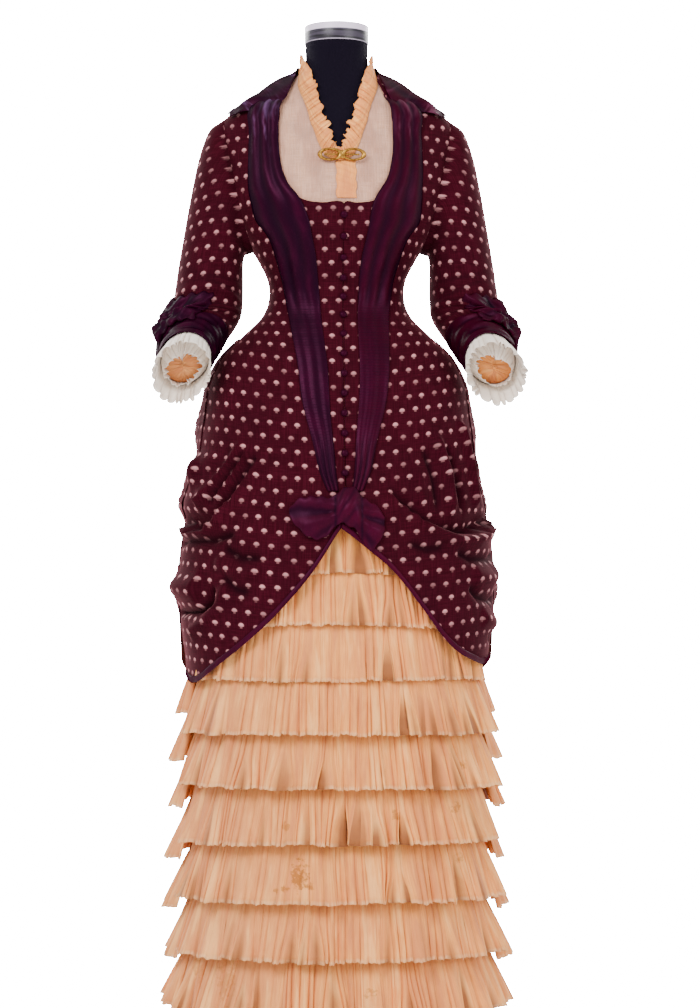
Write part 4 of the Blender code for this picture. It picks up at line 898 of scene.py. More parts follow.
def front_rows(side):
    """Angle and height of the inner and outer end of each row of a front."""
    rows = []
    for step, x, z in FRONT_NECK:
        angle, arm_z = armhole(step, True)
        inner = SIDE_SEAM if step == 0 else float(TORSO_BODY.angle(x + side * NECK_SHIFT, z))
        rows.append((side * inner, z, side * min(float(angle), SIDE_SEAM), float(arm_z)))
    for x, z, seam_z in FRONT_SKIRT:
        edge = CLOSURE_X + side * 0.00025 if x is None else side * x
        rows.append((float(DRESS_BODY.angle(edge, z)), z, side * SIDE_SEAM, seam_z))
    return [(i, *row) for i, row in enumerate(rows)]


def cutaway(side, angle):
    """Height of the lower edge at an angle from the front."""
    rows = [(float(DRAPERY_BODY.angle(x, z)), z) for x, z in CUTAWAY[side]]
    rows.append((SIDE_SEAM, CUTAWAY_BACK[side]))
    return read_table(rows, angle)[..., 0]


# %% [markdown]
# The folds of each hip come from the photograph. On the wearer's right two ridges run down and out into the
# mouth of a loop, with a second puff below it. On the wearer's left one long thin rim sweeps from the bow
# round to the hip.

# %% Folds of the hips
FOLDS = {
    -1: [
        ("ridge", 0.0058, 0.0072, [(41, 0.836), (50.3, 0.7981), (59.4, 0.7704), (66.7, 0.7568), (71, 0.745)]),
        ("ridge", -0.0034, 0.0040, [(39.5, 0.826), (47.5, 0.796), (55.5, 0.768), (62.5, 0.751)]),
        ("ridge", 0.0048, 0.0062, [(36, 0.829), (44.6, 0.7947), (51.7, 0.7669), (57.4, 0.7489)]),
        ("ridge", -0.0026, 0.0045, [(33, 0.822), (40.5, 0.792), (47.0, 0.765), (50, 0.750)]),
        ("ridge", 0.0030, 0.0075, [(28, 0.816), (36, 0.787), (43, 0.762), (46, 0.748)]),
        ("ridge", 0.0055, 0.0140, [(70, 0.812), (78, 0.790), (88, 0.775)]),
        ("rim", 0.0095, 0.0150, [
            (42, 0.765), (48, 0.751), (50.8, 0.7327), (57.5, 0.7148), (71.2, 0.710), (96, 0.730)]),
        ("ridge", -0.0042, 0.0060, [(96, 0.692), (75.2, 0.6985), (50.9, 0.6974), (38.8, 0.7081)]),
        ("ridge", 0.0085, 0.0180, [(97, 0.633), (76, 0.633), (57, 0.628)]),
        ("ridge", -0.0065, 0.0050, [
            (97, 0.598), (80.8, 0.5957), (60.0, 0.5972), (51.5, 0.6099), (50.1, 0.638)]),
        ("ridge", 0.0040, 0.0090, [(70, 0.566), (57, 0.580), (46, 0.606), (43, 0.640)]),
        ("ridge", -0.0030, 0.0060, [(46, 0.690), (36, 0.672), (26, 0.672)]),
        ("ridge", 0.0030, 0.0090, [(50, 0.672), (38, 0.652), (27, 0.652)]),
        ("ridge", -0.0024, 0.0070, [(46, 0.650), (38, 0.628), (31, 0.624)]),
    ],
    1: [
        ("rim", 0.0100, 0.0150, [
            (13, 0.776), (16.4, 0.7676), (20.7, 0.7466), (26.6, 0.7328), (32.8, 0.719), (39.9, 0.7095),
            (48.2, 0.7029), (59.4, 0.7035), (79.1, 0.7178), (96, 0.742)]),
        ("ridge", -0.0052, 0.0058, [(47.5, 0.836), (49.2, 0.8236), (54.9, 0.7842), (57.5, 0.7400)]),
        ("ridge", 0.0052, 0.0085, [(41.0, 0.848), (47.9, 0.7907), (49.7, 0.7330)]),
        ("ridge", -0.0028, 0.0060, [(34, 0.830), (39, 0.785), (41, 0.735)]),
        ("ridge", 0.0030, 0.0090, [(28, 0.820), (31, 0.785), (33, 0.742)]),
        ("ridge", 0.0050, 0.0090, [(61.0, 0.8708), (66.0, 0.8287), (69.0, 0.7793), (71, 0.745)]),
        ("ridge", -0.0040, 0.0060, [(70, 0.815), (74, 0.786), (77, 0.755)]),
        ("ridge", -0.0032, 0.0070, [(96, 0.690), (72, 0.672), (54, 0.672), (44, 0.684)]),
        ("ridge", 0.0045, 0.0130, [(97, 0.662), (74, 0.645), (54, 0.648)]),
        ("ridge", -0.0040, 0.0070, [(97, 0.628), (76, 0.612), (60, 0.618), (52, 0.634)]),
        ("ridge", 0.0040, 0.0110, [(97, 0.594), (80, 0.582), (62, 0.590)]),
        ("ridge", -0.0030, 0.0060, [(97, 0.565), (84, 0.556), (72, 0.566)]),
        ("ridge", -0.0024, 0.0060, [(40, 0.690), (31, 0.684), (22, 0.694)]),
    ],
}


def pouch(angle, z):
    """How far the loops at the hips pouch out, fuller on the wearer's right."""
    turn = np.mod(angle + math.pi, 2 * math.pi) - math.pi
    degrees = np.degrees(np.abs(turn))
    size = np.where(turn < 0, 0.0125, 0.0035)
    around = size * smooth(46, 72, degrees) * smooth(130, 100, degrees)
    return around * smooth(0.830, 0.806, z) * smooth(0.726, 0.752, z)


def front_surface(side, angle, z, extra):
    """Points of a front at angles and heights, standing off by extra, with their grooves."""
    angle, z = np.broadcast_arrays(angle, z)
    s = np.abs(angle) * FIGURE_RADIUS
    degrees = np.degrees(np.abs(angle))
    rim = next(line for kind, _, _, line in FOLDS[side] if kind == "rim")
    mouth = np.interp(degrees, [0] + [d for d, _ in rim], [0.770] + [h for _, h in rim])
    soft = 0.045 + (0.004 - 0.045) * smooth(18, 55, degrees)
    lower = smooth(mouth + soft, mouth - soft, z)
    lower = np.maximum(lower, smooth(66, 86, degrees) * smooth(0.815, 0.745, z))
    height, groove = fold_height(s, z, FOLDS[side])
    lapped = np.clip(smooth(80, 74, degrees) + smooth(0.765, 0.745, z), 0, 1) * smooth(89.5, 80, degrees)
    height, groove = height * lapped, groove * smooth(89.5, 80, degrees)
    height += (0.0003 + 0.0009 * smooth(0.95, 0.80, z)) * unevenness(s, z, 50 + side)
    tucked = 0.005 * smooth(0.585, 0.505, z) * smooth(50, 84, degrees) - pouch(angle, z)
    above = DRESS_BODY.out(angle, z, BODICE_OUT + height + extra + pouch(angle, z))
    below = DRAPERY_BODY.out(angle, z, height + extra - tucked)
    return above + (below - above) * lower[..., None], groove


# %% The fronts
for side in (-1, 1):
    rows = front_rows(side)
    last = len(rows) - 1
    at = np.concatenate([np.linspace(0, last - 5, 84, endpoint=False), np.linspace(last - 5, last, 62)])
    inner, inner_z, outer, outer_z = np.moveaxis(read_table(rows, at), -1, 0)[..., None]
    t = np.linspace(0.0, 1.0, 92)[None, :]
    angle = inner + (outer - inner) * t
    z = outer_z + (inner_z - outer_z) * (1 - t) ** 2
    down = np.linspace(0.0, 1.0, 74)[1:, None]
    edge = cutaway(side, np.maximum(angle[-1] * side, 0.0))
    angle = np.concatenate([angle, np.repeat(angle[[-1]], len(down), axis=0)])
    z = np.concatenate([z, z[[-1]] + (edge - z[[-1]]) * down])
    if side < 0:
        angle, z = angle[:, ::-1], z[:, ::-1]
    grid, groove = front_surface(side, angle, z, 0.0)
    name = SIDES[side]
    nodes = [f"front_{name}", f"drape_{name}"]
    piece = lay_cloth(f"brocade_front_{name}", grid, BROCADE_WALL, brocade, nodes,
                      measure=DRESS_BODY.laid_flat(angle, z), groove=groove)

# %% [markdown]
# ## The binding of the cutaway
# A dark satin band, just under a centimetre wide, binds the cutaway edge. It is laid on the front's own
# surface, two millimetres above it, so it takes the same folds.

# %% The binding
for side in (-1, 1):
    start = float(DRAPERY_BODY.angle(0.0004, 0.72))
    angle = np.linspace(start, SIDE_SEAM - 0.12, 130)[None, :]
    edge = cutaway(side, angle)
    across = np.linspace(0.0, 1.0, 6)[:, None]
    z = edge + 0.0085 - 0.0093 * across
    roll = 0.0022 + 0.0009 * np.sin(math.pi * across) + 0.0003 * unevenness(angle, z, 60 + side)
    grid, groove = front_surface(side, side * angle, z, roll)
    if side < 0:
        grid = grid[:, ::-1]
    piece = lay_cloth(f"satin_binding_{SIDES[side]}", grid, 0.0006, satin, [f"hem_band_{SIDES[side]}"])

# %% [markdown]
# ## The back of the bodice
# Two back pieces meet in a centre seam. They are plain and close, with a shallow groove down the seam and a
# few soft creases at the waist.

# %% The backs
BACK_NECK = [
    (0, 91.0, 1.3790), (12, 103.0, 1.3805), (25, 115.0, 1.3820), (50, 148.0, 1.3840), (70, 179.7, 1.3850),
    (90, 179.7, 1.3450), (110, 179.7, 1.3000), (135, 179.7, 1.2500), (160, 179.7, 1.2000), (180, 179.7, 1.1600),
]
BACK_SKIRT = [(1.1250, 1.1000), (1.0880, 1.0750), (1.0520, 1.0480), (1.0150, 1.0150), (0.9600, 0.9650)]
for side in (-1, 1):
    rows = []
    for step, degrees, z in BACK_NECK:
        angle, arm_z = armhole(step, False)
        rows.append((math.radians(degrees), z, max(float(angle), math.pi - SIDE_SEAM), float(arm_z)))
    rows += [(math.radians(179.8), z, math.pi - SIDE_SEAM, seam_z) for z, seam_z in BACK_SKIRT]
    table = [(i, *row) for i, row in enumerate(rows)]
    ends = read_table(table, np.linspace(0, len(rows) - 1, 96))
    inner, inner_z, outer, outer_z = np.moveaxis(ends, -1, 0)[..., None]
    t = np.linspace(0.0, 1.0, 64)[None, :]
    angle = np.minimum(inner + (outer - inner) * t, math.radians(179.98))
    z = outer_z + (inner_z - outer_z) * (1 - t) ** 2
    seam = np.exp(-((math.pi - angle) * 0.09 / 0.0016) ** 2)
    panel = np.exp(-((angle - math.radians(128) - 0.10 * smooth(1.02, 1.25, z)) * 0.10 / 0.0013) ** 2)
    waist = np.exp(-((z - 1.045) / 0.03) ** 2)
    crease = 0.0011 * waist * np.sin(z * 420 + 9 * angle) * smooth(150, 110, np.degrees(angle))
    height = 0.0004 * unevenness(angle * 0.1, z, 70 + side) - 0.0009 * seam
    height = height - 0.0008 * panel * smooth(1.28, 1.22, z) + crease
    # Painted shade down the seam and along the panel line.
    groove = 0.5 * seam + 0.45 * panel * smooth(1.28, 1.22, z)
    grid = DRESS_BODY.out(side * angle, z, BODICE_OUT + height)
    measure = DRESS_BODY.laid_flat(side * angle, z, middle=side * math.pi)
    if side > 0:
        grid, measure, groove = grid[:, ::-1], measure[:, ::-1], groove[:, ::-1]
    piece = lay_cloth(f"brocade_back_{SIDES[side]}", grid, BROCADE_WALL, brocade, [f"back_{SIDES[side]}"],
                      measure=measure, groove=groove)

# %% [markdown]
# ## The bustle drapery
# Behind, one width of brocade is caught at the side seams and falls in three looped puffs over the bustle.
# Cloth that hangs between two tacks makes swags: its folds are close together at the sides and spread and
# sag in the middle. So the fold's phase is measured in a fan that opens towards the centre back.

# %% The drapery
PUFF_HEM_SIDE, PUFF_HEM_BACK, PUFF_LAP, PUFF_OUT = 0.533, 0.455, math.radians(11.0), 0.0058
PUFFS = [(0.868, 0.036, 0.018), (0.765, 0.032, 0.016), (0.632, 0.030, 0.020)]
PUFF_SPANS = [(0.905, 0.815, 4), (0.815, 0.700, 4), (0.700, 0.560, 5)]


def puff_surface(z, across):
    """The drapery's points, its folds included, at levels and shares from one side to the other."""
    lap = smooth(0.748, 0.793, z)
    start = math.pi - SIDE_SEAM - math.radians(1.6) - PUFF_LAP * lap
    angle = start + (2 * math.pi - 2 * start) * across
    share = np.sin(math.pi * across)
    level = z + np.where(z < 0.9, -0.018 * share * smooth(PUFF_HEM_SIDE, PUFF_HEM_SIDE + 0.03, z), 0.0)
    level = level + (PUFF_HEM_BACK - PUFF_HEM_SIDE) * share * smooth(PUFF_HEM_SIDE + 0.06, PUFF_HEM_SIDE, z)
    swell = sum(out * np.exp(-((level - middle) / height) ** 2) for middle, height, out in PUFFS)
    folds, groove = np.zeros(z.shape), np.zeros(z.shape)
    wander = unevenness(across * 0.25, level, 81)
    for k, (top, bottom, count) in enumerate(PUFF_SPANS):
        middle, tall = (top + bottom) / 2, top - bottom
        fan = tall * (0.34 + 0.66 * share ** 0.8)
        phase = (level - middle + 0.030 * (share - 0.6)) / fan + 0.5
        inside = smooth(-0.10, 0.12, phase) * smooth(1.10, 0.88, phase)
        wave = np.abs(np.sin(math.pi * count * phase + 0.55 * wander + k))
        size = 0.0085 * (0.30 + 0.70 * share) * (0.7 + 0.3 * np.sin(5 * phase + 7 * across + k))
        folds += inside * size * (wave ** 0.75 - 0.55)
        # Painted shade in the troughs of the swag folds.
        groove += inside * (1 - wave) ** 3 * 0.9
    folds += 0.0012 * unevenness(across * 0.5, level, 82)
    ends = smooth(0.0, 0.05, np.minimum(across, 1 - across))
    puffed = (swell * (0.45 + 0.55 * share) + folds) * ends
    point = DRAPERY_BODY.out(angle, level, 0.0016 + pouch(angle, z) + puffed)
    edge = np.minimum(across, 1 - across) / 0.16
    hug = DRESS_BODY.out(angle, level, PUFF_OUT + pouch(angle, z) + 0.4 * folds * ends)
    weight = lap * (1 - smooth(0, 1, edge))
    return point + (hug - point) * weight[..., None], angle, level, groove


levels = np.linspace(0.986, PUFF_HEM_SIDE, 150)[:, None]
shares = np.linspace(0.0, 1.0, 150)[None, :]
levels, shares = np.broadcast_arrays(levels, shares)
grid, angle, level, groove = puff_surface(levels, shares)
puff = lay_cloth("brocade_drapery", grid, BROCADE_WALL, brocade, ["back_puff"],
                 measure=DRAPERY_BODY.laid_flat(angle, level, middle=math.pi, level=0.70), groove=groove)

# %% [markdown]
# ## Neckline: chemisette, placket and frill
# A fine tucked chemisette fills the V. A narrow peach placket closes it below the brooch, and a peach frill
# stands along the V's edge. All three are laid on the torso itself, one over another.

# %% The chemisette
CHEMISETTE_OUT, THIN = 0.0012, 0.0011
CHEMISETTE = [
    (104.0, 1.3960, 104.0, 1.3640), (82.0, 1.3900, 86.0, 1.3560), (0.0450, 1.3600, 0.0800, 1.3330),
    (0.0385, 1.3270, 0.0885, 1.3000), (0.0285, 1.2950, 0.0905, 1.2640), (0.0190, 1.2680, 0.0870, 1.2300),
    (0.0125, 1.2510, 0.0740, 1.1950), (0.0060, 1.2445, 0.0400, 1.1700), (0.0000, 1.2420, 0.0000, 1.1680),
]
FRILL_EDGE = [
    (104.0, 1.4080), (78.0, 1.4050), (0.0345, 1.3720), (0.0270, 1.3370), (0.0195, 1.3060), (0.0125, 1.2830),
    (0.0085, 1.2670), (0.0045, 1.2555), (0.0000, 1.2510),
]
FRILL_SEAM = [
    (104.0, 1.3900), (82.0, 1.3840), (0.0560, 1.3560), (0.0470, 1.3240), (0.0385, 1.2920), (0.0290, 1.2640),
    (0.0200, 1.2460), (0.0090, 1.2390), (0.0000, 1.2370),
]


def edge_line(table, column, along):
    """Angle and height along an edge that is given as degrees, or as x where below 1, and height."""
    rows = []
    for i, row in enumerate(table):
        first, z = row[column], row[column + 1]
        rows.append((i, math.radians(first) if first > 1 else float(TORSO_BODY.angle(first, z)), z))
    return np.moveaxis(read_table(rows, along), -1, 0)


run = np.linspace(-1.0, 1.0, 181)[None, :]
along, hand = (1 - np.abs(run)) * 8, np.where(run < 0, -1.0, 1.0)
v_angle, v_z = edge_line(CHEMISETTE, 0, along)
n_angle, n_z = edge_line(CHEMISETTE, 2, along)
t = np.linspace(0.0, 1.0, 26)[:, None]
angle, z = hand * (v_angle + (n_angle - v_angle) * t), v_z + (n_z - v_z) * t
grid = TORSO_BODY.out(angle, z, CHEMISETTE_OUT + 0.0003 * unevenness(angle * 0.1, z, 90))
flat = TORSO_BODY.laid_flat(angle, z)
chemisette = lay_cloth("chemisette_batiste", grid, 0.0006, batiste, ["chemisette"], measure=flat)

# %% The placket
z = np.linspace(1.2370, 1.1830, 40)[:, None]
x = np.linspace(-0.0045, 0.0235, 15)[None, :] + 0.0008 * np.sin(z * 310)
wrinkle = 0.0007 * np.sin(z * 700 + x * 260) + 0.0005 * unevenness(x * 2, z * 2, 91)
angle = TORSO_BODY.angle(x + 0 * z, z + 0 * x)
grid = TORSO_BODY.out(angle, z + 0 * x, CHEMISETTE_OUT + THIN + 0.0009 + wrinkle)
placket = lay_cloth("peach_placket", grid, 0.0006, peach, ["placket"])

# %% The neck frill
places, lift, own, lean, drop, opened = pleat_columns(84, 92)
run = (places * 2 - 1)[None, :]
along, hand = (1 - np.abs(run)) * 8, np.where(run < 0, -1.0, 1.0)
root_angle, root_z = edge_line(FRILL_SEAM, 0, along)
free_angle, free_z = edge_line(FRILL_EDGE, 0, along)
t = np.linspace(0.0, 1.0, 8)[:, None]
gathered = np.sin(math.pi * t) * (0.5 + 0.5 * lift)
curl = 0.010 * own * (drop + 0.2) + 0.022 * np.sin(places * 150) * np.sin(places * 37)
angle = hand * (free_angle + (root_angle - free_angle) * t - (1 - t) ** 2 * curl)
z = free_z + (root_z - free_z) * t + (1 - t) ** 2 * 0.0014 * drop
depth = (0.0004 + 0.0017 * np.sin(math.pi * (0.25 + 0.75 * t))) * own
offset = CHEMISETTE_OUT + THIN + 0.0006 + 0.0016 * (1 - t) + depth * (lift + 1.0) * 0.8 + 0.0006 * gathered
groove = ((1 - lift) / 2) ** 2 * (0.25 + 0.35 * t) * np.clip(own, 0.3, 1.2)
grid = TORSO_BODY.out(angle, z, offset)
frill = lay_cloth("peach_neck_frill", grid, 0.0004, peach, ["neck_frill"], groove=groove)

# %% [markdown]
# ## Collar and facings
# The satin collar lies round the neck and ends in a point on each shoulder, and the long facings narrow down
# to the bow. Their tops are tucked in under the collar. Over the bust they lie in soft lengthwise folds, and
# below it they are shirred: drawn up on threads, so that fine crosswise ripples run from edge to edge.

# %% The collar
COLLAR = [
    (31.0, 1.3150, 67.0, 1.3120), (38.0, 1.3370, 75.0, 1.3160), (53.0, 1.3600, 84.0, 1.3200),
    (86.0, 1.3860, 93.0, 1.3200), (120.0, 1.3900, 116.0, 1.3060), (150.0, 1.3910, 148.0, 1.2860),
    (180.0, 1.3915, 180.0, 1.2800),
]
half = np.linspace(0.0, 6.0, 90)
along = np.concatenate([half, half[-2::-1]])[None, :]
hand = np.concatenate([np.ones(90), -np.ones(89)])[None, :]
rows = [(i, *row) for i, row in enumerate(COLLAR)]
in_deg, in_z, out_deg, out_z = np.moveaxis(read_table(rows, along), -1, 0)
t = np.linspace(0.0, 1.0, 26)[:, None]
turn = np.radians(in_deg + (out_deg - in_deg) * t)
angle = np.where(hand > 0, turn, 2 * math.pi - turn)
z = in_z + (out_z - in_z) * t
front = np.clip(1.0 - along / 2.2, 0.0, 1.0)
lift = 0.0020 * front + 0.0012 * t * t
roll = np.sin(math.pi * np.clip(t * 1.05, 0, 1)) ** 1.5 * (0.0060 * smooth(0.2, 1.0, along) + 0.0015)
soft = 0.0016 * np.sin(t * 11 + along * 1.3) * np.sin(math.pi * t) + 0.0006 * unevenness(angle * 0.15, z, 95)
z = z - 0.006 * front * t * t + 0.0015 * np.sin(along * 5.0) * t
grid = DRESS_BODY.out(angle, z, 0.0076 + lift + roll + soft)
groove = 0.7 * np.clip(-soft / 0.0014, 0, 1)
collar = lay_cloth("satin_collar", grid, 0.0009, satin, ["collar"], groove=groove)

# %% The facings
REVERS = [
    (1.3420, 0.0690, 0.0880), (1.3300, 0.0735, 0.1030), (1.3130, 0.0782, 0.1190),
    (1.2850, 0.0806, 0.1210), (1.2450, 0.0786, 0.1210),
    (1.2080, 0.0686, 0.1200), (1.1800, 0.0500, 0.1170), (1.1550, 0.0420, 0.1110), (1.1380, 0.0385, 0.0980),
    (1.1040, 0.0310, 0.0840), (1.0700, 0.0280, 0.0745), (1.0390, 0.0265, 0.0710), (0.9676, 0.0235, 0.0660),
    (0.8980, 0.0208, 0.0590), (0.8350, 0.0155, 0.0440), (0.7830, 0.0120, 0.0320), (0.7640, 0.0090, 0.0240),
]
SHIRR_PITCH = 0.0042
for side in (-1, 1):
    z = np.linspace(1.3420, 0.7640, 330)[:, None]
    inner, outer = np.moveaxis(read_table(sorted(REVERS), z), -1, 0)
    t = np.linspace(0.0, 1.0, 25)[None, :]
    x = inner + (outer - inner) * t + 0.0007 * unevenness(z * 1.5, t * 0.02, 98 + side) * np.abs(2 * t - 1)
    shift = NECK_SHIFT * np.clip((z - 1.15) / 0.05, 0, 1) + CLOSURE_X * smooth(1.03, 0.93, z)
    shirred = smooth(1.050, 1.025, z) * smooth(0.80, 0.86, z)
    drift = 0.9 * unevenness(z, t * 0.03, 100 + side)
    lengthwise = 0.5 - 0.5 * np.cos(2 * math.pi * 3 * t + drift)
    waver = 2.2 * unevenness(t * 0.05, z, 102 + side)
    ripple = np.sin(2 * math.pi * (z + 0.10 * (x - 0.05) ** 2) / SHIRR_PITCH + waver)
    height = 0.0021 * lengthwise * (1 - 0.55 * shirred) + 0.00055 * ripple * shirred
    height += 0.0016 * np.sin(math.pi * t) * (1 - shirred)
    groove = 0.75 * (1 - lengthwise) * (1 - shirred) + 0.40 * (0.5 - 0.5 * ripple) * shirred
    angle = DRESS_BODY.angle(side * x + shift, z + 0 * x)
    lapped = 0.0052 * smooth(1.275, 1.312, z) - 0.0095 * smooth(1.316, 1.340, z)
    grid = DRESS_BODY.out(angle, z + 0 * x, 0.0064 + lapped + height)
    if side < 0:
        grid, groove = grid[:, ::-1], groove[:, ::-1]
    name = SIDES[side]
    piece = lay_cloth(f"satin_facing_{name}", grid, 0.0008, satin, [f"revers_{name}"], groove=groove)

# %% [markdown]
# ## Sleeves
# The sleeves are close and end below the elbow, and the forearm comes forward. A sleeve is a stack of rings
# along the arm. Its folds gather in the crook of the elbow, at the front of the bend.

# %% The sleeves
SLEEVE = [
    (0.1665, 1.3085, 0.1325, 1.1180, 0.000, 0.0520, 0), (0.1840, 1.2960, 0.1350, 1.1140, 0.000, 0.0560, 0),
    (0.1975, 1.2600, 0.1360, 1.1080, 0.001, 0.0585, 0), (0.2085, 1.2080, 0.1365, 1.0980, 0.002, 0.0575, 0),
    (0.2185, 1.1530, 0.1365, 1.0850, 0.003, 0.0560, 0), (0.2275, 1.1030, 0.1370, 1.0690, 0.004, 0.0550, 0),
    (0.2345, 1.0600, 0.1380, 1.0490, 0.005, 0.0540, 2), (0.2400, 1.0220, 0.1410, 1.0270, 0.003, 0.0520, 12),
    (0.2430, 1.0000, 0.1530, 1.0070, -0.012, 0.0475, 30), (0.2480, 0.9790, 0.1690, 0.9870, -0.039, 0.0440, 50),
    (0.2530, 0.9590, 0.1790, 0.9690, -0.065, 0.0425, 56), (0.2570, 0.9430, 0.1850, 0.9540, -0.087, 0.0415, 56),
    (0.2600, 0.9270, 0.1880, 0.9390, -0.108, 0.0415, 56),
]


def sleeve_point(side, ring, step, offset):
    """A point of the sleeve: ring number, and degrees from its outer line towards the front."""
    ring, step = np.broadcast_arrays(np.asarray(ring, dtype=float), np.asarray(step, dtype=float))
    rows = [(i, *row) for i, row in enumerate(SLEEVE)]
    ox, oz, ix, iz, y, depth, pitch = np.moveaxis(read_table(rows, ring), -1, 0)
    zero = np.zeros(ring.shape)
    middle = np.stack([(ox + ix) / 2, y, (oz + iz) / 2], axis=-1)
    reach = np.stack([(ox - ix) / 2, zero, (oz - iz) / 2], axis=-1)
    lean = np.radians(pitch)
    forward = np.stack([zero, -np.cos(lean), np.sin(lean)], axis=-1) * depth[..., None]
    c, s = np.cos(np.radians(step))[..., None], np.sin(np.radians(step))[..., None]
    lift = reach / (reach ** 2).sum(-1, keepdims=True) * c
    lift = lift + forward / (forward ** 2).sum(-1, keepdims=True) * s
    lift /= np.linalg.norm(lift, axis=-1, keepdims=True)
    point = middle + reach * c + forward * s + lift * np.broadcast_to(offset, ring.shape)[..., None]
    return point * np.array([side, 1.0, 1.0])


def turned_out(side, *grids):
    """Run the columns the way that faces the cloth outwards on either arm."""
    return [grid[:, ::-1] if side > 0 else grid for grid in grids]


for side in (-1, 1):
    step = np.linspace(-180.0, 180.0, 97)[None, :]
    front = np.mod(step, 360.0) <= 180.0
    folded = np.where(front, np.mod(step, 360.0), 360.0 - np.mod(step, 360.0))
    front_angle, hole_z = armhole(folded, True, 0.0003)
    back_angle, _ = armhole(folded, False, 0.0003)
    seam = DRESS_BODY.out(side * np.where(front, front_angle, back_angle), hole_z, BODICE_OUT - 0.0006)
    ring = np.linspace(0.45, 10.0, 100)[:, None]
    crook = np.exp(-((step - 95) / 62) ** 2)
    folds, groove = np.zeros((100, 97)), np.zeros((100, 97))
    for k, (middle, tilt, size, width) in enumerate([
            (5.3, 0.20, 0.0020, 0.20), (6.1, -0.30, 0.0032, 0.19), (6.8, 0.22, 0.0036, 0.17),
            (7.5, -0.15, 0.0036, 0.17), (8.1, 0.25, 0.0028, 0.16), (9.1, -0.20, 0.0020, 0.20)]):
        away = ring - middle - tilt * np.sin(np.radians(step * 1.4 + 40 * k * side))
        away = away - 0.10 * unevenness(step / 900, ring / 30, 110 + k)
        folds += size * crook * np.exp(-(away / width) ** 2)
        # Painted shade in the troughs of the folds at the crook.
        groove += 0.5 * crook * np.exp(-((away + 0.30) / 0.11) ** 2)
    spiral = 0.0012 * np.sin(np.radians(step * 3) + ring * 0.6)
    folds += spiral * smooth(1.0, 3.0, ring) * smooth(10.0, 8.5, ring)
    body = sleeve_point(side, ring, step, folds * smooth(10.0, 9.2, ring))
    share = np.linspace(0.0, 1.0, 7)[:-1, None, None]
    head = seam[None, 0] + (body[[0]] - seam[None, 0]) * share
    grid = np.concatenate([head, body])
    groove = np.concatenate([0.12 * np.repeat(1 - share[:, :, 0], 97, axis=1), groove])
    grid[:, -1] = grid[:, 0]
    groove[:, -1] = groove[:, 0]
    measure = own_measure(grid)
    measure[:, :, 0] = np.radians(step) * 0.050
    elbow = 6 + int(np.argmin(np.abs(ring[:, 0] - 7.0)))
    upper_arm = grid[12, :-1].mean(axis=0) - grid[elbow, :-1].mean(axis=0)
    upper_arm /= np.linalg.norm(upper_arm)
    measure[:, :, 1] -= measure[elbow, :, 1]
    measure[:elbow, :, 1] = (grid[:elbow] - grid[elbow]) @ upper_arm
    grid, groove, measure = turned_out(side, grid, groove, measure)
    name = SIDES[side]
    piece = lay_cloth(f"brocade_sleeve_{name}", grid, BROCADE_WALL, brocade, [f"sleeve_{name}"],
                      measure=measure, groove=groove, ring=True)

# %% [markdown]
# ## Cuffs, cuff frills and bows
# A satin cuff goes round each sleeve's end, a double frill of white batiste falls out of it, and a ragged
# satin bow sits over the cuff's outer side. Inside the white frills a peach one has fallen inwards.

# %% The cuffs and their frills
CUFF_OUT = 0.0010
for side in (-1, 1):
    name = SIDES[side]
    step = np.linspace(-180.0, 180.0, 91)[None, :]
    ring = np.linspace(8.5, 10.6, 30)[:, None]
    pull = 0.0009 * np.sin(ring * 7 + np.radians(step) * 2)
    pull = pull + 0.0006 * np.sin(ring * 13 - np.radians(step) * 3 + side)
    grid = sleeve_point(side, ring, step, BROCADE_WALL + CUFF_OUT + 0.0012 + pull)
    grid[:, -1] = grid[:, 0]
    grid, groove = turned_out(side, grid, np.clip(-pull / 0.0015, 0, 1) * 0.6)
    cuff = lay_cloth(f"satin_cuff_{name}", grid, 0.0008, satin, [f"cuff_{name}"], groove=groove, ring=True)
    layers = [
        ("outer", frill_white, 10.15, 11.75, -0.0012, 0.0040, 0.0034, 130, 24, [f"cuff_frill_{name}"]),
        ("upper", frill_white, 10.30, 11.15, -0.0020, -0.0120, 0.0030, 150, 26, []),
        ("inner", peach, 10.40, 10.95, -0.0042, -0.0385, 0.0030, 140, 21, []),
    ]
    for layer, finish, first, last, start, end, fold, seed, count, nodes in layers:
        places, lift, own, lean, drop, opened = pleat_columns(count, seed + side)
        step = (places * 360.0 - 180.0)[None, :]
        t = np.linspace(0.0, 1.0, 11)[:, None]
        above = np.sin(np.radians(step))
        if layer == "upper":
            end = end - 0.015 * np.clip(above, 0, 1)
        if layer == "outer":
            last = last - 0.42 * np.clip(above, -1, 0) ** 3
        ring = first + (last - first) * t + t ** 3 * 0.07 * drop
        joined = smooth(0.0, 0.06, np.minimum(places, 1 - places))
        ring = ring + 0.10 * unevenness(places * 0.4, t * 0.04, seed) * t * joined
        offset = start + (end - start) * t + (0.0001 + fold * t) * own * lift
        step = step + lean * 2.0 * t * np.sin(math.pi * places) ** 0.5
        grid = sleeve_point(side, ring, step, offset)
        grid[:, -1] = grid[:, 0]
        groove = ((1 - lift) / 2) ** 1.5 * (0.2 + 0.5 * t) * (0.35 if layer == "inner" else 1.0)
        groove[:, -1] = groove[:, 0]
        grid, groove = turned_out(side, grid, groove)
        piece = lay_cloth(f"cuff_frill_{layer}_{name}", grid, 0.0004, finish, nodes, groove=groove, ring=True)

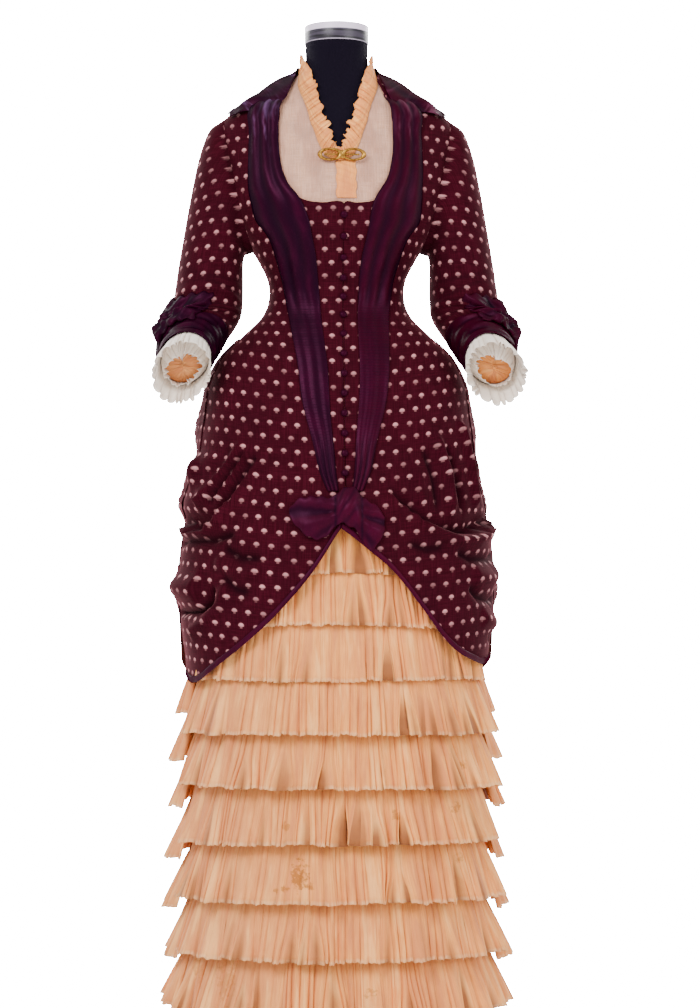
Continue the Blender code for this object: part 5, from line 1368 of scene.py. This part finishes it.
# %% The cuff bows
for side in (-1, 1):
    name = SIDES[side]
    v = np.linspace(-1.0, 1.0, 44)[:, None]
    u = np.linspace(-1.0, 1.0, 60)[None, :]
    swell = (1 - u * u) * (1 - v * v)
    ruffle = 0.5 + 0.5 * np.cos(3.1 * u * math.pi + 1.3 * v)
    pull = 1 - 0.16 * np.abs(u) * (1 - np.abs(v))
    middle, half = 7.75, 1.75
    ring = middle + v * half * pull * (1 - 0.22 * (1 - np.abs(u)))
    ring = ring + 0.08 * np.sin(u * 23 + side) * smooth(0.75, 1.0, np.abs(v))
    step = 26.0 + 72.0 * u + 2.2 * np.sin(v * 17 + 2 * side) * smooth(0.8, 1.0, np.abs(u))
    over_cuff = np.clip((ring - 7.8) / 0.5, 0, 1)
    turn = np.arctan2(v, u * 1.2)
    far = np.hypot(u, v)
    gather = np.sin(turn * 11 + 2.2 * far + side) * smooth(0.05, 0.35, far)
    knot = np.exp(-(far / 0.16) ** 2)
    lift = 0.0165 * (0.35 + 0.65 * ruffle) * swell ** 0.45 + 0.0034 * gather * swell ** 0.4 + 0.003 * knot
    lift = lift + 0.0024 * np.sin(u * 19 + v * 11 + side) * swell ** 0.3
    grid = sleeve_point(side, ring, step, 0.0014 + 0.0013 + 0.0034 * over_cuff + np.maximum(lift, 0.0))
    groove = 0.9 * smooth(0.3, -0.9, gather) * swell ** 0.3 + 0.6 * (1 - ruffle) * swell
    grid, groove = turned_out(side, grid, groove)
    piece = lay_cloth(f"satin_cuff_bow_{name}", grid, 0.0007, satin, [f"cuff_bow_{name}"], groove=groove)

# %% [markdown]
# ## The front bow
# At the foot of the facings sits a flat satin bow: two loops that are pinched at the knot, so their folds
# fan out from it.

# %% The front bow
FRONT_BOW = [
    (-0.0710, 0.7300, 0.7400, 0.0005), (-0.0600, 0.7150, 0.7520, 0.0030), (-0.0450, 0.7010, 0.7560, 0.0050),
    (-0.0250, 0.6985, 0.7560, 0.0045), (-0.0110, 0.7110, 0.7560, 0.0040), (-0.0040, 0.7190, 0.7620, 0.0080),
    (0.0100, 0.7160, 0.7700, 0.0100), (0.0220, 0.7080, 0.7660, 0.0080), (0.0290, 0.6950, 0.7560, 0.0045),
    (0.0370, 0.6830, 0.7510, 0.0050), (0.0460, 0.6850, 0.7460, 0.0045), (0.0540, 0.6980, 0.7380, 0.0030),
    (0.0600, 0.7120, 0.7280, 0.0005),
]
KNOT_X = 0.0105
x = np.linspace(-0.0710, 0.0600, 110)[None, :]
low, high, lift = np.moveaxis(read_table(FRONT_BOW, x), -1, 0)
t = np.linspace(0.0, 1.0, 30)[:, None]
z = high + (low - high) * t
crown = 0.35 + 0.65 * np.sin(math.pi * t)
from_knot = x - KNOT_X
fan = np.arctan2(z - 0.738, np.abs(from_knot) + 0.004)
pleated = np.sin(fan * 10 + 1.5 * np.sign(from_knot) + 0.8 * unevenness(x, z, 120))
pleated = pleated * smooth(0.012, 0.030, np.abs(from_knot))
pleated = pleated * np.sin(math.pi * t) ** 0.5
band = np.exp(-(from_knot / 0.0165) ** 6)
tuck = np.sin(from_knot * 420 + 14 * t) * band
height = lift * crown + 0.0026 * (pleated + 0.7) * (1 - band)
height = height + (0.0022 + 0.0009 * tuck) * band * np.sin(math.pi * t)
edge_z = z + 0.0012 * np.sin(x * 420) * np.abs(2 * t - 1)
angle = DRAPERY_BODY.angle(x + 0 * z, edge_z)
grid = DRAPERY_BODY.out(angle, edge_z, 0.0040 + height)
pinched = np.exp(-((np.abs(from_knot) - 0.018) / 0.0022) ** 2)
groove = 0.85 * smooth(0.1, -1.0, pleated) + 0.5 * np.clip(-tuck, 0, 1) + 0.7 * pinched
bow = lay_cloth("satin_front_bow", grid, 0.0008, satin, ["front_bow"], groove=groove)

# %% [markdown]
# ## Buttons and brooch
# The buttons are small wooden moulds covered in satin. One is made from a flattened sphere with a pinched
# rim and copied down the closure. The brooch is two gilt wire loops, a knot and a pin bar.

# %% The buttons
bpy.ops.mesh.primitive_uv_sphere_add(segments=18, ring_count=10, radius=0.0052)
mould = bpy.context.object
for vertex in mould.data.vertices:
    ring = math.hypot(vertex.co.x, vertex.co.y)
    turn = math.atan2(vertex.co.y, vertex.co.x)
    pinch = 1 + 0.03 * math.cos(9 * turn) * (ring / 0.0052) ** 3
    vertex.co.x *= pinch
    vertex.co.y *= pinch
    vertex.co.z = max(vertex.co.z * 0.62 + 0.0016, 0.0)
mould.data.shade_smooth()
mould.data.materials.append(satin)
for i in range(14):
    node = f"button_{i + 1:02d}"
    low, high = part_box(node)
    z = 1.1605 - i * 0.0285
    angle = DRESS_BODY.angle(CLOSURE_X, z)
    normal = Vector((DRESS_BODY.out(angle, z, 1.0) - DRESS_BODY.point(angle, z)).tolist())
    seat = (Vector(low) + Vector(high)) / 2 - normal * 0.0027
    button = bpy.data.objects.new(f"covered_{node}", mould.data.copy())
    bpy.context.scene.collection.objects.link(button)
    turn_out = normal.to_track_quat("Z", "Y").to_matrix().to_4x4()
    turn_out.translation = seat
    button.data.transform(turn_out)
    dress(button, [node])
bpy.data.objects.remove(mould)

# %% The brooch
low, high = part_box("brooch")
middle = (Vector(low) + Vector(high)) / 2
loops = []
for side in (-1, 1):
    bpy.ops.mesh.primitive_torus_add(
        location=(0, 0, 0), major_segments=36, minor_segments=12, major_radius=0.0150, minor_radius=0.0034)
    loop = bpy.context.object
    for vertex in loop.data.vertices:
        x, y, z = vertex.co
        vertex.co = (middle.x + side * 0.0165 + x, middle.y + z * 0.9, middle.z + y * 0.52)
    loops.append(loop)
bpy.ops.mesh.primitive_uv_sphere_add(segments=20, ring_count=12, radius=0.0056, location=middle)
knot = bpy.context.object
knot.scale = (1.0, 0.55, 1.15)
bpy.ops.object.transform_apply(location=True, rotation=False, scale=True)
bpy.ops.mesh.primitive_cylinder_add(
    vertices=14, radius=0.0011, depth=0.050, location=middle, rotation=(0, math.pi / 2, 0))
bar = bpy.context.object
bpy.ops.object.transform_apply(location=True, rotation=True, scale=False)
only(knot)
for other in loops + [bar]:
    other.select_set(True)
bpy.ops.object.join()
brooch = name_piece("gilt_brooch", gilt)
edit_all(brooch)
bpy.ops.mesh.normals_make_consistent(inside=False)
bpy.ops.object.mode_set(mode="OBJECT")
bpy.ops.object.shade_smooth_by_angle(angle=math.radians(45))
dress(brooch, ["brooch"])
print("brooch faces:", len(brooch.data.polygons))

# %% [markdown]
# ## Light, floor and camera
# The photograph was taken in soft even light on white, with the camera at hip height, four metres away and a
# little to the left. A pale floor, a large soft light at each side and a bright surround give the same. The
# floor and the surround are pure white to the camera alone, and light the dress much more softly.

# %% Floor and lights
bpy.ops.mesh.primitive_plane_add(size=1, location=(0, 0, -0.0005))
floor = bpy.context.object
floor.name = "floor"
floor.scale = (14, 14, 1)
bpy.ops.object.transform_apply(location=True, rotation=False, scale=True)
pale, bench, shader = finish_of("pale_floor", 0.9)
shader.inputs["Base Color"].default_value = (0.92, 0.92, 0.92, 1)
shader.inputs["Emission Color"].default_value = (1.0, 1.0, 1.0, 1)
seen = bench.put("ShaderNodeLightPath", {}, {}).outputs["Is Camera Ray"]
bench.feed(shader.inputs["Emission Strength"], bench.maths("MULTIPLY", seen, 40.0))
floor.data.materials.append(pale)

world = bpy.data.worlds.new("studio")
bpy.context.scene.world = world
world.use_nodes = True
sky = Bench(world.node_tree)
seen = sky.put("ShaderNodeLightPath", {}, {}).outputs["Is Camera Ray"]
surround = world.node_tree.nodes["Background"]
surround.inputs["Color"].default_value = (1.0, 1.0, 1.0, 1)
sky.feed(surround.inputs["Strength"], sky.maths("MULTIPLY_ADD", seen, 40.0 - 1.15, 1.15))


def soft_light(name, place, aim, size, power):
    lamp = bpy.data.lights.new(name, "AREA")
    lamp.shape = "SQUARE"
    lamp.size = size
    lamp.energy = power
    holder = bpy.data.objects.new(name, lamp)
    holder.location = place
    holder.rotation_mode = "QUATERNION"
    holder.rotation_quaternion = (Vector(aim) - Vector(place)).to_track_quat("-Z", "Y")
    bpy.context.scene.collection.objects.link(holder)


soft_light("key", (-1.6, -2.6, 2.6), (0, 0, 0.8), 1.6, 130)
soft_light("fill", (2.2, -2.4, 1.8), (0, 0, 0.8), 1.8, 62)
soft_light("back_left", (-1.8, 2.2, 2.2), (0, 0, 0.9), 1.4, 55)
soft_light("back_right", (1.8, 2.2, 2.2), (0, 0, 0.9), 1.4, 55)

# %% The camera
SCALE, DISTANCE, EYE, CENTRE_Z, TURN = 0.00145, 4.0, 0.600, 0.7537, math.radians(-2.5)
right = Vector((math.cos(TURN), math.sin(TURN), 0))
aside = right * 0.0196
lens = bpy.data.cameras.new("photo_camera")
lens.sensor_fit = "VERTICAL"
lens.sensor_height = 24
lens.angle_y = 2 * math.atan(1008 * SCALE / 2 / DISTANCE)
camera = bpy.data.objects.new("photo_camera", lens)
camera.location = Vector((DISTANCE * math.sin(TURN), -DISTANCE * math.cos(TURN), EYE)) + aside
aim = Vector((0, 0, CENTRE_Z)) + aside
camera.rotation_mode = "QUATERNION"
camera.rotation_quaternion = (aim - camera.location).to_track_quat("-Z", "Y")
bpy.context.scene.collection.objects.link(camera)
bpy.context.scene.camera = camera

# %% Size and finish
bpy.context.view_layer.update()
triangles = sum(len(face.vertices) - 2 for piece in dressed for face in piece.data.polygons)
print("pieces:", len(dressed), "triangles:", triangles)
